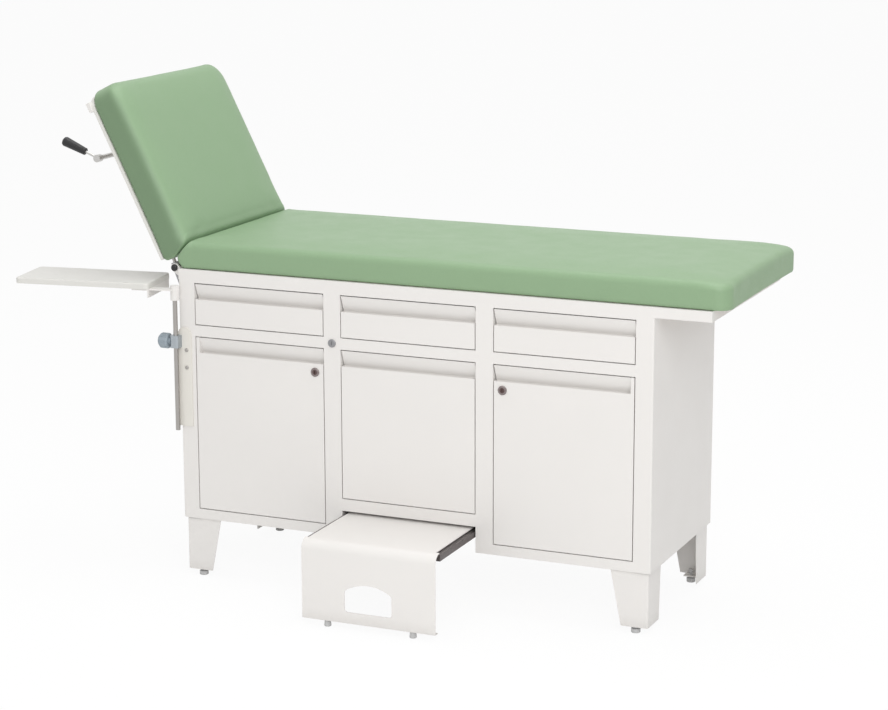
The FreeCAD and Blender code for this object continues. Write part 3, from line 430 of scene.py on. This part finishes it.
def swell(piece, base, cap, cushions):
    """Let pressure swell the cover while its base stays on the board."""
    start = [vert.co.copy() for vert in piece.data.vertices]
    still = piece.vertex_groups.new(name="base")
    still.add([index for index, co in enumerate(start) if co.z < base + NEAR], 1.0, "REPLACE")
    cloth = piece.modifiers.new("Cloth", "CLOTH")
    cloth.settings.quality = 5
    cloth.settings.use_pressure = True
    cloth.settings.uniform_pressure_force = cushions.pressure
    cloth.settings.vertex_group_mass = still.name
    cloth.settings.effector_weights.gravity = 0.0
    cloth.collision_settings.use_collision = False
    scene = bpy.context.scene
    for step in range(1, cushions.frames + 1):
        scene.frame_set(step)
    swollen = evaluated(piece)
    for vert, first in zip(swollen.vertices, start):
        move = vert.co - first
        most = cap(first)
        if move.length > most:
            move *= most / move.length
        vert.co = first + move
    scene.frame_set(1)
    take_mesh(piece, swollen)
    piece.vertex_groups.clear()


def eased(value):
    """Smooth step from 0 to 1, for a value that may lie outside that range."""
    value = held(value)
    return value * value * (3 - 2 * value)


def dress(piece, low, high, outer, cushions, tuck=0.0):
    """Crown the top, let its outer corners sink, pull in the sides and leave the cover slightly uneven.

    outer is 1 when the outer end is the +X end, else -1."""
    centre = (low + high) / 2
    half = (high - low) / 2
    for vert in piece.data.vertices:
        u = held((vert.co.x - centre.x) / half.x, -1.0)
        v = held((vert.co.y - centre.y) / half.y, -1.0)
        sunk = max(0.0, (high.z - vert.co.z) / (high.z - low.z))
        vert.co.x -= u * cushions.draw * (1 - v * v)
        vert.co.y -= v * (cushions.draw * (1 - u * u) + tuck * sunk)
        rise = max(0.0, (vert.co.z - centre.z) / half.z)
        margin = min(half.x * (1 - abs(u)), half.y * (1 - abs(v)))
        vert.co.z += rise * cushions.crown * eased(margin / cushions.crown_run)
        sunk_end = eased(1 - half.x * (1 - outer * u) / cushions.droop_run)
        sunk_side = eased(1 - half.y * (1 - abs(v)) / cushions.droop_run)
        vert.co.z -= rise * cushions.droop * sunk_end * sunk_side
        lift = held((vert.co.z - low.z) / (half.z * RIPPLE_START))
        vert.co += vert.normal * cushions.ripple * lift * noise.noise(vert.co / cushions.ripple_size * 2)
        if vert.co.z < low.z:
            vert.co.z = low.z


def finish_cushion(piece, body, node, material):
    piece.data.shade_smooth()
    refine = piece.modifiers.new("Subdivision", "SUBSURF")
    refine.levels = 1
    refine.render_levels = 1
    finish_piece(piece, body, material)
    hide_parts(node)


# Node groups and materials

SOCKETS = {1: "NodeSocketFloat", 3: "NodeSocketVector", 4: "NodeSocketColor"}
MIXES = {}
MADE = {}


def new_group(name, output, **inputs):
    """Shader node group with one output, and its sockets; an input's kind follows from its default."""
    group = bpy.data.node_groups.new(name, "ShaderNodeTree")
    for label, default in inputs.items():
        kind = SOCKETS[len(default) if isinstance(default, tuple) else 1]
        group.interface.new_socket(name=label, in_out="INPUT", socket_type=kind).default_value = default
    kind = SOCKETS[4 if output == "Colour" else 1]
    group.interface.new_socket(name=output, in_out="OUTPUT", socket_type=kind)
    return group, group.nodes.new("NodeGroupInput").outputs, group.nodes.new("NodeGroupOutput").inputs[0]


def add(tree, kind, **settings):
    node = tree.nodes.new(kind)
    for label, value in settings.items():
        setattr(node, label, value)
    return node


def give(tree, node, **values):
    """Give a node's inputs their values; each is a socket, a number, a vector or a colour."""
    for label, value in values.items():
        feed(tree, node.inputs[label.replace("_", " ")], value)
    return node


def feed(tree, socket, value):
    """Link a socket to another one, or set it."""
    if isinstance(value, bpy.types.NodeSocket):
        tree.links.new(value, socket)
    elif socket.type == "RGBA":
        socket.default_value = (*value, 1.0)
    else:
        socket.default_value = value


def math_node(tree, operation, first, second=0.0, clamp=False):
    """Math node whose inputs are sockets or numbers."""
    node = add(tree, "ShaderNodeMath", operation=operation, use_clamp=clamp)
    feed(tree, node.inputs[0], first)
    feed(tree, node.inputs[1], second)
    return node.outputs[0]


def vector_node(tree, operation, *values):
    """Vector Math node whose inputs are sockets or vectors."""
    node = add(tree, "ShaderNodeVectorMath", operation=operation)
    for socket, value in zip(node.inputs, values):
        feed(tree, socket, value)
    return node


def part_of(tree, vector, axis):
    return give(tree, add(tree, "ShaderNodeSeparateXYZ"), Vector=vector).outputs[axis]


def mix_colour(tree, factor, first, second, blend="MIX"):
    """Mix node on colours; each input is a socket or a colour."""
    node = add(tree, "ShaderNodeMix", data_type="RGBA", blend_type=blend)
    for index, value in ((0, factor), (6, first), (7, second)):
        feed(tree, node.inputs[index], value)
    return node.outputs[2]


def place(tree, kind="Object"):
    return add(tree, "ShaderNodeTexCoord").outputs[kind]


def noise_node(tree, vector, scale, detail=3.0, roughness=0.5):
    return give(tree, add(tree, "ShaderNodeTexNoise"), Vector=vector, Scale=scale, Detail=detail,
                Roughness=roughness)


def spread(tree, value, kind="LINEAR", **ends):
    """Value mapped from one range to another."""
    node = add(tree, "ShaderNodeMapRange", interpolation_type=kind)
    return give(tree, node, Value=value, **ends).outputs[0]


def tone_drift():
    """Colour that drifts a little lighter and darker over the surface."""
    grey = (0.8, 0.8, 0.8, 1.0)
    group, given, made = new_group("Tone drift", "Colour", Colour=grey, Scale=8.0, Amount=0.05)
    cloud = noise_node(group, place(group), given["Scale"], 4.0, 0.55)
    centred = math_node(group, "SUBTRACT", cloud.outputs[0], 0.5)
    doubled = math_node(group, "MULTIPLY", centred, 2.0)
    drift = math_node(group, "MULTIPLY", doubled, given["Amount"])
    factor = math_node(group, "ADD", drift, 1.0)
    group.links.new(mix_colour(group, 1.0, given["Colour"], factor, "MULTIPLY"), made)
    return group


def gloss_patches():
    """Roughness that wanders between two values."""
    group, given, made = new_group("Gloss patches", "Roughness", Low=0.3, High=0.4, Scale=20.0)
    cloud = noise_node(group, place(group), given["Scale"], 5.0, 0.6)
    ends = {"From_Min": 0.3, "From_Max": 0.7, "To_Min": given["Low"], "To_Max": given["High"]}
    group.links.new(spread(group, cloud.outputs[0], **ends), made)
    return group


def orange_peel():
    """Fine waviness of sprayed or moulded surfaces, as a height."""
    group, given, made = new_group("Orange peel", "Height", Scale=400.0)
    where = place(group)
    fine = noise_node(group, where, given["Scale"], 2.0, 0.4)
    broad = noise_node(group, where, math_node(group, "MULTIPLY", given["Scale"], 0.12), 2.0, 0.5)
    group.links.new(math_node(group, "ADD", fine.outputs[0], broad.outputs[0]), made)
    return group


def floor_scuff():
    """Mask of the grime that fades out above the floor."""
    group, given, made = new_group("Floor scuff", "Mask", Height=0.05, Amount=0.3)
    where = place(group)
    up = math_node(group, "DIVIDE", part_of(group, where, "Z"), given["Height"])
    fade = math_node(group, "SUBTRACT", 1.0, up, clamp=True)
    patch = noise_node(group, where, 60.0, 4.0, 0.65)
    worn = math_node(group, "MULTIPLY", fade, patch.outputs[0])
    group.links.new(math_node(group, "MULTIPLY", worn, given["Amount"], clamp=True), made)
    return group


def brushed_lines():
    """Fine drawn lines of worked metal, as a value."""
    group, given, made = new_group("Drawn lines", "Value", Stretch=(1.0, 1.0, 0.05), Scale=600.0)
    stretch = vector_node(group, "MULTIPLY", place(group), given["Stretch"])
    lines = noise_node(group, stretch.outputs[0], given["Scale"], 3.0, 0.6)
    group.links.new(lines.outputs[0], made)
    return group


def side_shade_mask():
    """Mask of the places that look to either side, where painted shade darkens the backrest's cover."""
    group, given, made = new_group("Painted side shade", "Mask", From=0.5)
    aside = math_node(group, "ABSOLUTE", part_of(group, place(group, "Normal"), "Y"))
    group.links.new(spread(group, aside, "SMOOTHSTEP", From_Min=given["From"]), made)
    return group


class Finish:
    """One material with its Principled shader and the groups placed in it."""

    def __init__(self, name):
        self.material = bpy.data.materials.new(name)
        self.material.use_nodes = True
        self.tree = self.material.node_tree
        self.shader = self.tree.nodes["Principled BSDF"]

    def use(self, label, **values):
        """Place a node group and give it values; each is a number, a colour, a vector or a socket."""
        node = add(self.tree, "ShaderNodeGroup", node_tree=MIXES[label])
        return give(self.tree, node, **values).outputs[0]

    def feed(self, socket, value):
        feed(self.tree, self.shader.inputs[socket], value)

    def gloss(self, low, high, scale):
        self.feed("Roughness", self.use("gloss", Low=low, High=high, Scale=scale))

    def peel(self, scale, strength, distance):
        self.feed("Normal", self.bump(self.use("peel", Scale=scale), strength, distance))

    def bump(self, height, strength, distance, **under):
        node = add(self.tree, "ShaderNodeBump")
        give(self.tree, node, Height=height, Strength=strength, Distance=distance, **under)
        return node.outputs["Normal"]


def enamel(name, paint, finishes, gloss=(0.30, 0.42)):
    """Baked enamel: orange peel, slow drift of tone and grime near the floor."""
    coat = Finish(name)
    tone = coat.use("tone", Colour=paint, Scale=5.0, Amount=0.018)
    grime = coat.use("scuff", Height=finishes.scuff_height, Amount=0.42)
    coat.feed("Base Color", mix_colour(coat.tree, grime, tone, finishes.scuff))
    coat.gloss(*gloss, 11.0)
    coat.peel(420.0, 0.10, 0.0004)
    return coat.material


def vinyl(name, finishes, panels=False):
    """Coated cloth: pebbled grain, soft waves of the foam below and, where asked, painted shade on the faces
    that look to either side.
    """
    cover = Finish(name)
    tree = cover.tree
    where = place(tree)
    warp = noise_node(tree, where, 0.35 / finishes.pebble, 2.0)
    bend = vector_node(tree, "MULTIPLY_ADD", warp.outputs["Color"], (finishes.pebble,) * 3, where)
    cells = add(tree, "ShaderNodeTexVoronoi", feature="DISTANCE_TO_EDGE")
    give(tree, cells, Vector=bend.outputs[0], Scale=1.0 / finishes.pebble)
    pebble = spread(tree, cells.outputs["Distance"], "SMOOTHSTEP", From_Max=0.22)
    tone = cover.use("tone", Colour=finishes.vinyl, Scale=4.0, Amount=0.045)
    cloth = mix_colour(tree, pebble, finishes.vinyl_valley, tone)
    if panels:
        # Painted shade: the cover is made darker where it faces to either side, standing in for the shade on
        # the backrest's sides
        mask = cover.use("sides", From=finishes.side_shade_from)
        cloth = mix_colour(tree, mask, cloth, finishes.side_shade_tint, "MULTIPLY")
    cover.feed("Base Color", cloth)
    cover.gloss(0.40, 0.50, 16.0)
    soft = cover.bump(noise_node(tree, where, 9.0).outputs[0], 0.16, 0.006)
    cover.feed("Normal", cover.bump(pebble, 0.22, 0.0003, Normal=soft))
    cover.feed("Specular IOR Level", 0.5)
    return cover.material


def laminate(finishes):
    """Coated board with a very fine speckle."""
    coat = Finish("White laminate")
    tone = coat.use("tone", Colour=finishes.laminate, Scale=900.0, Amount=0.04)
    coat.feed("Base Color", coat.use("tone", Colour=tone, Scale=7.0, Amount=0.02))
    coat.gloss(0.34, 0.46, 30.0)
    coat.peel(900.0, 0.12, 0.0002)
    return coat.material


def plywood(finishes):
    """Raw plywood: long grain and thin layers."""
    board = Finish("Plywood")
    tree = board.tree
    grain = board.use("lines", Stretch=(0.04, 1.0, 6.0), Scale=160.0)
    light = finishes.plywood
    dark = tuple(channel * 0.62 for channel in light)
    streak = mix_colour(tree, spread(tree, grain, From_Min=0.35, From_Max=0.7), light, dark)
    board.feed("Base Color", board.use("tone", Colour=streak, Scale=6.0, Amount=0.08))
    board.gloss(0.55, 0.72, 40.0)
    board.feed("Normal", board.bump(grain, 0.25, 0.0005))
    return board.material


def worked_metal(name, tint, stretch, gloss, grain=520.0):
    """Bare or plated metal with drawn lines."""
    metal = Finish(name)
    lines = metal.use("lines", Stretch=stretch, Scale=grain)
    tone = metal.use("tone", Colour=tint, Scale=25.0, Amount=0.07)
    metal.feed("Base Color", mix_colour(metal.tree, lines, tone, tuple(channel * 0.8 for channel in tint)))
    metal.gloss(*gloss, 70.0)
    metal.feed("Normal", metal.bump(lines, 0.12, 0.0002))
    metal.feed("Metallic", 1.0)
    return metal


def moulded(name, tint, gloss=(0.40, 0.55)):
    """Moulded plastic with a fine spark grain."""
    plastic = Finish(name)
    plastic.feed("Base Color", plastic.use("tone", Colour=tint, Scale=60.0, Amount=0.10))
    plastic.gloss(*gloss, 90.0)
    plastic.peel(1100.0, 0.25, 0.0003)
    return plastic.material


def lock_metal(name, finishes, centre):
    """Plated lock face with a darker turning plug in its middle."""
    metal = worked_metal(name, finishes.lock_rim, (1.0, 0.2, 1.0), (0.22, 0.34))
    tree = metal.tree
    shift = vector_node(tree, "SUBTRACT", place(tree), (centre[0], 0.0, centre[2]))
    flat = vector_node(tree, "MULTIPLY", shift.outputs[0], (1.0, 0.0, 1.0))
    away = vector_node(tree, "LENGTH", flat.outputs[0])
    plug = math_node(tree, "LESS_THAN", away.outputs["Value"], finishes.plug_radius)
    bare = metal.shader.inputs["Base Color"].links[0].from_socket
    metal.feed("Base Color", mix_colour(tree, plug, bare, finishes.lock_plug))
    return metal.material


def clamp_finish(finishes):
    """Warm enamel on the clamp's plate and bare cast metal on the block in front of it."""
    coat = Finish("Clamp")
    tree = coat.tree
    plate_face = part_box("rod_clamp")[1][1] - finishes.clamp_plate - NEAR
    block = math_node(tree, "LESS_THAN", part_of(tree, place(tree), "Y"), plate_face)
    paint = coat.use("tone", Colour=finishes.warm_enamel, Scale=5.0, Amount=0.02)
    cast = coat.use("tone", Colour=finishes.clamp, Scale=60.0, Amount=0.10)
    coat.feed("Base Color", mix_colour(tree, block, paint, cast))
    coat.feed("Metallic", math_node(tree, "MULTIPLY", block, 0.8))
    coat.gloss(0.32, 0.45, 40.0)
    coat.peel(420.0, 0.12, 0.0004)
    return coat.material


def paint_nodes(material, *nodes):
    """Give CAD nodes a material in all their slots."""
    for name in nodes:
        mesh = frame["nodes"][name].data
        if not mesh.materials:
            mesh.materials.append(material)
        for index in range(len(mesh.materials)):
            mesh.materials[index] = material


def both(*names):
    """Names of the left and right node of each pair."""
    return [name + side for name in names for side in ("_left", "_right")]


def settings(context):
    scene = context.scene
    return scene.table_finishes, scene.table_cushions, scene.table_fixings, scene.table_studio


class TABLE_OT_studio(bpy.types.Operator):
    """Pale floor, even sky, soft lamps and the camera"""
    bl_idname = "table.studio"
    bl_label = "Studio"

    def execute(self, context):
        studio = settings(context)[3]
        scene = context.scene
        scene.view_settings.view_transform = "Standard"
        self.sky(scene, studio)
        self.floor(studio)
        self.lamp("Key lamp", studio.key_place, studio.key, studio)
        self.lamp("Top lamp", studio.top_place, studio.top, studio)
        camera = new_object("Camera", bpy.data.cameras.new("Camera"))
        camera.location = studio.camera_place
        camera.rotation_euler = studio.camera_turn
        camera.data.lens = studio.lens
        camera.data.clip_end = studio.reach
        scene.camera = camera
        return {"FINISHED"}

    @staticmethod
    def white_to_camera(tree, lit, white):
        """Mix of what lights the table and what the camera, gloss and glass see."""
        path = add(tree, "ShaderNodeLightPath")
        seen = math_node(tree, "MAXIMUM", path.outputs["Is Camera Ray"], path.outputs["Is Glossy Ray"])
        seen = math_node(tree, "MAXIMUM", seen, path.outputs["Is Transmission Ray"])
        mix = add(tree, "ShaderNodeMixShader")
        tree.links.new(lit, mix.inputs[1])
        tree.links.new(white, mix.inputs[2])
        return seen, mix

    def sky(self, scene, studio):
        world = bpy.data.worlds.new("Sky")
        world.use_nodes = True
        scene.world = world
        tree = world.node_tree
        tree.nodes.clear()
        even = give(tree, add(tree, "ShaderNodeBackground"), Color=(1.0, 1.0, 1.0), Strength=studio.sky)
        white = give(tree, add(tree, "ShaderNodeBackground"), Color=(1.0, 1.0, 1.0), Strength=1.0)
        seen, mix = self.white_to_camera(tree, even.outputs[0], white.outputs[0])
        tree.links.new(seen, mix.inputs[0])
        tree.links.new(mix.outputs[0], add(tree, "ShaderNodeOutputWorld").inputs["Surface"])

    def floor(self, studio):
        shape = bmesh.new()
        bmesh.ops.create_grid(shape, x_segments=2, y_segments=2, size=studio.floor_size / 2)
        floor = new_piece("Floor", shape, smooth=False)
        paint = Finish("Pale floor")
        tree = paint.tree
        give(tree, paint.shader, Base_Color=studio.floor, Roughness=0.9, Specular_IOR_Level=0.0)
        glow = give(tree, add(tree, "ShaderNodeEmission"), Strength=1.0)
        seen, mix = self.white_to_camera(tree, paint.shader.outputs[0], glow.outputs[0])
        tree.links.new(math_node(tree, "MULTIPLY", seen, studio.floor_glow), mix.inputs[0])
        tree.links.new(mix.outputs[0], tree.nodes["Material Output"].inputs["Surface"])
        floor.data.materials.append(paint.material)

    @staticmethod
    def lamp(name, spot, power, studio):
        light = bpy.data.lights.new(name, "AREA")
        light.shape = "DISK"
        light.size = studio.lamp_size
        light.energy = power
        lamp = new_object(name, light)
        lamp.location = spot
        aim = Vector((0.0, 0.0, studio.lamp_aim)) - lamp.location
        lamp.rotation_euler = aim.to_track_quat("-Z", "Y").to_euler()


class TABLE_OT_finishes(bpy.types.Operator):
    """Node and a finish on every solid of the table"""
    bl_idname = "table.finishes"
    bl_label = "Finishes"

    def execute(self, context):
        finishes = settings(context)[0]
        MIXES.update(tone=tone_drift(), gloss=gloss_patches(), peel=orange_peel(), scuff=floor_scuff(),
                     lines=brushed_lines(), sides=side_shade_mask())
        steel = finishes.steel
        satin = (0.26, 0.38)
        long = worked_metal("Drawn steel, upright", steel, (1.0, 1.0, 0.03), satin).material
        across = worked_metal("Drawn steel, across", steel, (1.0, 0.03, 1.0), satin).material
        drawn = (1.0, 0.05, 1.0)
        zinc = worked_metal("Zinc plate", finishes.zinc, drawn, (0.30, 0.46), 300.0).material
        MADE.update(zinc=zinc, vinyl=vinyl("Green vinyl", finishes),
                    # Shaded copy of the vinyl: it carries the painted shade on the backrest's sides
                    panelled=vinyl("Green vinyl with painted side shade", finishes, True),
                    grip=moulded("Black plastic", finishes.grip, (0.34, 0.5)),
                    enamel=enamel("White enamel", finishes.enamel, finishes))
        pairs = both("end_panel", "partition", "drawer_front", "door", "leg_front", "leg_back", "floor")
        paint_nodes(MADE["enamel"], *pairs, "top_panel", "back_panel", "front_rails", "drawer_front_middle",
                    "deep_drawer_front", "step_tread", "frame_front", "frame_foot", "frame_back",
                    "frame_head", "backrest_arms", "head_bar", "spring_bracket", "spring_anchor",
                    "board_bracket", "floor_middle")
        inner = enamel("Inner enamel", finishes.inner_enamel, finishes, (0.36, 0.5))
        paint_nodes(inner, "drawer_box_middle", "deep_drawer_box", *both("shelf", "drawer_box"))
        paint_nodes(clamp_finish(finishes), "rod_clamp")
        paint_nodes(long, "board_rod", "door_pivots", "spring_rod")
        paint_nodes(across, "hinge_rod", "lock_strikes", "clamp_screws")
        bright = worked_metal("Bright steel", finishes.bright, (1.0, 0.03, 1.0), (0.28, 0.4))
        paint_nodes(bright.material, "release_lever")
        paint_nodes(zinc, "drawer_runners", "spring_cylinder")
        # Dark steel of the slides, darkened further as painted shade of the gap beside the step
        dark_steel_and_gap_shade = worked_metal("Dark steel with painted gap shade", finishes.dark_steel_and_gap_shade, drawn, (0.34, 0.5), 300.0)
        paint_nodes(dark_steel_and_gap_shade.material, "step_slides", "step_runners")
        paint_nodes(MADE["grip"], "lever_grip")
        paint_nodes(moulded("Blue-grey plastic", finishes.knob), "clamp_knob")
        rubber = moulded("Grey plastic", finishes.foot, (0.5, 0.65))
        paint_nodes(rubber, "levelling_feet", "step_feet")
        paint_nodes(plywood(finishes), "mattress_board")
        paint_nodes(laminate(finishes), "backrest_board", "arm_board")
        paint_nodes(MADE["vinyl"], "mattress_pad")
        paint_nodes(MADE["panelled"], "backrest_pad")
        paint_nodes(zinc, "lock_centre")
        for name in both("lock"):
            centre = JOINTS[name + "_turn"]["pos_m"]
            label = name.replace("_", " ").capitalize()
            paint_nodes(lock_metal(label, finishes, centre), name)
        return {"FINISHED"}


class TABLE_OT_mattress(bpy.types.Operator):
    """Swollen mattress over its board, flat where it lies on the frame"""
    bl_idname = "table.mattress"
    bl_label = "Mattress"

    def execute(self, context):
        cushions = settings(context)[1]
        low, high = (Vector(corner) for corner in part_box("mattress_pad"))
        low.x += cushions.nose
        low.z += cushions.seat_gap
        high.z += cushions.loft - cushions.crown
        inset = cushions.swell / 2
        start_low = low + Vector((cushions.hinge_swell, inset, 0.0))
        start_high = high - Vector((inset, inset, inset))
        edge = cushions.mattress_edge
        block = pad_block(start_low, start_high, cushions.hinge_corner, cushions.foot_corner, edge, cushions)
        square_corners(block, start_low, start_high, -1, cushions)
        swell_nose(block, start_low, start_high, edge, cushions)
        piece = new_piece("mattress_cushion", block)

        def cap(point):
            return cushions.hinge_swell if point.x < start_low.x + cushions.hinge_corner else cushions.swell

        swell(piece, low.z, cap, cushions)
        dress(piece, low, high, 1, cushions)
        lower, upper = (raised_matrix() @ point for point in meeting_line(cushions))
        press(piece, lower, upper, -1, cushions.press_gap)
        finish_cushion(piece, "cabinet", "mattress_pad", MADE["vinyl"])
        return {"FINISHED"}


class TABLE_OT_backrest(bpy.types.Operator):
    """Swollen backrest cushion, made lying flat and raised with its board"""
    bl_idname = "table.backrest"
    bl_label = "Backrest"

    def execute(self, context):
        cushions = settings(context)[1]
        wide_low, wide_high = (Vector(corner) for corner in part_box("backrest_pad"))
        near = HINGE.x - cushions.backrest_gap
        base = HINGE.z - cushions.backrest_drop + cushions.seat_gap
        low = Vector((near - cushions.backrest_length, wide_low.y, base))
        high = Vector((near, wide_high.y, base + cushions.backrest_thickness))
        inset = cushions.swell / 2
        start_low = low + Vector((inset, inset, 0.0))
        start_high = high - Vector((cushions.hinge_swell, inset, inset))
        edge = cushions.backrest_edge
        block = pad_block(start_low, start_high, cushions.head_corner, cushions.hinge_corner, edge, cushions)
        square_edge(block, start_high, edge, cushions)
        square_corners(block, start_low, start_high, 1, cushions)
        lean_back(block, start_low, start_high, cushions)
        piece = new_piece("backrest_cushion", block)

        def cap(point):
            near_hinge = point.x > start_high.x - cushions.hinge_corner - cushions.backrest_lean
            return cushions.hinge_swell if near_hinge else cushions.swell

        swell(piece, base, cap, cushions)
        dress(piece, low, high, -1, cushions, cushions.tuck)
        press(piece, *meeting_line(cushions), 1, 0.0)
        piece.data.transform(raised_matrix())
        finish_cushion(piece, "backrest", "backrest_pad", MADE["panelled"])
        return {"FINISHED"}


class TABLE_OT_fixings(bpy.types.Operator):
    """Screws, fixing tabs of the backrest's arms and end caps of the rods"""
    bl_idname = "table.fixings"
    bl_label = "Fixings"

    def execute(self, context):
        cushions = settings(context)[1]
        fixings = settings(context)[2]
        board_rear = HINGE.z - cushions.backrest_drop - fixings.board_thickness
        self.arm_tabs(fixings, board_rear)
        self.bracket_screws(fixings, board_rear)
        self.wall_screws(fixings)
        self.rod_caps(fixings)
        return {"FINISHED"}

    @staticmethod
    def arm_tabs(fixings, board_rear):
        """Tabs beside the arms, screwed to the back of the board."""
        tabs = bmesh.new()
        screws = bmesh.new()
        low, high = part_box("backrest_arms")
        for side, inner in zip((-1, 1), inside(low, high, 1, fixings.tab_overlap)):
            for along in fixings.tab_places:
                middle = Vector((HINGE.x - along, inner - side * fixings.tab_reach / 2,
                                 board_rear - fixings.tab_sheet / 2))
                tab = bmesh.new()
                bmesh.ops.create_cube(tab, size=1.0)
                size = (fixings.tab_width, fixings.tab_reach, fixings.tab_sheet)
                bmesh.ops.scale(tab, verts=tab.verts, vec=size)
                posts = [edge for edge in tab.edges if upright(edge) and -side * edge.verts[0].co.y > 0]
                bevel(tab, posts, fixings.tab_reach * TAB_ROUND, 5)
                add_shape(tabs, tab, Matrix.Translation(middle))
                for shift in (-TAB_SCREW_SPREAD, TAB_SCREW_SPREAD):
                    spot = middle + Vector((shift * fixings.tab_width, 0.0, -fixings.tab_sheet / 2))
                    add_stud(screws, spot, (0, 0, -1), fixings.screw_radius * TAB_SCREW_SIZE,
                             fixings.screw_height)
        for shape in (tabs, screws):
            bmesh.ops.transform(shape, verts=shape.verts, matrix=raised_matrix())
        fixing("arm_tabs", tabs, "backrest", "enamel")
        fixing("arm_tab_screws", screws, "backrest", "zinc")

    @staticmethod
    def bracket_screws(fixings, board_rear):
        """Screws of the spring bracket into the board."""
        screws = bmesh.new()
        low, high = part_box("spring_bracket")
        for along in fixings.bracket_places:
            for y in inside(low, high, 1, fixings.bracket_inset):
                spot = Vector((HINGE.x - along, y, board_rear - fixings.bracket_sheet))
                add_stud(screws, spot, (0, 0, -1), fixings.screw_radius, fixings.screw_height)
        bmesh.ops.transform(screws, verts=screws.verts, matrix=raised_matrix())
        fixing("bracket_screws", screws, "backrest", "zinc")

    @staticmethod
    def wall_screws(fixings):
        """Screws of the spring anchor and of the back panel."""
        screws = bmesh.new()
        head = (fixings.screw_radius, fixings.screw_height)
        low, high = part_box("spring_anchor")
        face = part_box("end_panel_left")[0][0] - fixings.anchor_sheet
        for y in inside(low, high, 1, fixings.anchor_side):
            for z in inside(low, high, 2, fixings.anchor_end):
                add_stud(screws, Vector((face, y, z)), (-1, 0, 0), *head)
        low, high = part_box("back_panel")
        first, last = inside(low, high, 0, fixings.panel_side)
        for index in range(fixings.panel_columns):
            x = first + (last - first) * index / (fixings.panel_columns - 1)
            for z in inside(low, high, 2, fixings.panel_end):
                add_stud(screws, Vector((x, high[1], z)), (0, 1, 0), *head)
        for x in (first, last):
            for part in fixings.panel_rows:
                z = low[2] + (high[2] - low[2]) * part
                add_stud(screws, Vector((x, high[1], z)), (0, 1, 0), *head)
        fixing("wall_screws", screws, "cabinet", "zinc")

    @staticmethod
    def rod_caps(fixings):
        """Push-on caps on the ends of the hinge rod and on the lever's shaft."""
        caps = bmesh.new()
        low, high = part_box("hinge_rod")
        deep = fixings.cap_length
        for side, end in zip((-1, 1), inside(low, high, 1, fixings.cap_overlap)):
            add_cap(caps, Vector((HINGE.x, end, HINGE.z)), (0, side, 0), fixings.cap_radius, deep)
        fixing("hinge_rod_caps", caps, "cabinet", "grip", True)
        cap = bmesh.new()
        axis = JOINTS["lever_turn"]["pos_m"]
        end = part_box("release_lever")[1][1] - fixings.shaft_overlap
        add_cap(cap, Vector((axis[0], end, axis[2])), (0, 1, 0), fixings.shaft_cap_radius, deep)
        fixing("lever_shaft_cap", cap, "lever", "grip", True)


OPERATORS = (TABLE_OT_studio, TABLE_OT_finishes, TABLE_OT_mattress, TABLE_OT_backrest, TABLE_OT_fixings)


class TABLE_PT_panel(bpy.types.Panel):
    """Steps and settings of the table"""
    bl_idname = "TABLE_PT_panel"
    bl_label = "Examination table"
    bl_space_type = "VIEW_3D"
    bl_region_type = "UI"
    bl_category = "Table"

    def draw(self, context):
        for step in OPERATORS:
            self.layout.operator(step.bl_idname)
        for group in settings(context):
            box = self.layout.box()
            for label in group.__annotations__:
                box.prop(group, label)


GROUPS = {"table_finishes": TableFinishes, "table_cushions": TableCushions, "table_fixings": TableFixings,
          "table_studio": TableStudio}


CLASSES = (*GROUPS.values(), *OPERATORS, TABLE_PT_panel)


def register():
    for kind in CLASSES:
        bpy.utils.register_class(kind)
    for label, group in GROUPS.items():
        setattr(bpy.types.Scene, label, PointerProperty(type=group))


def unregister():
    for label in GROUPS:
        delattr(bpy.types.Scene, label)
    for kind in reversed(CLASSES):
        bpy.utils.unregister_class(kind)


def main():
    register()
    bpy.ops.table.studio()
    bpy.ops.table.finishes()
    bpy.ops.table.mattress()
    bpy.ops.table.backrest()
    bpy.ops.table.fixings()


if __name__ == "__main__":
    main()
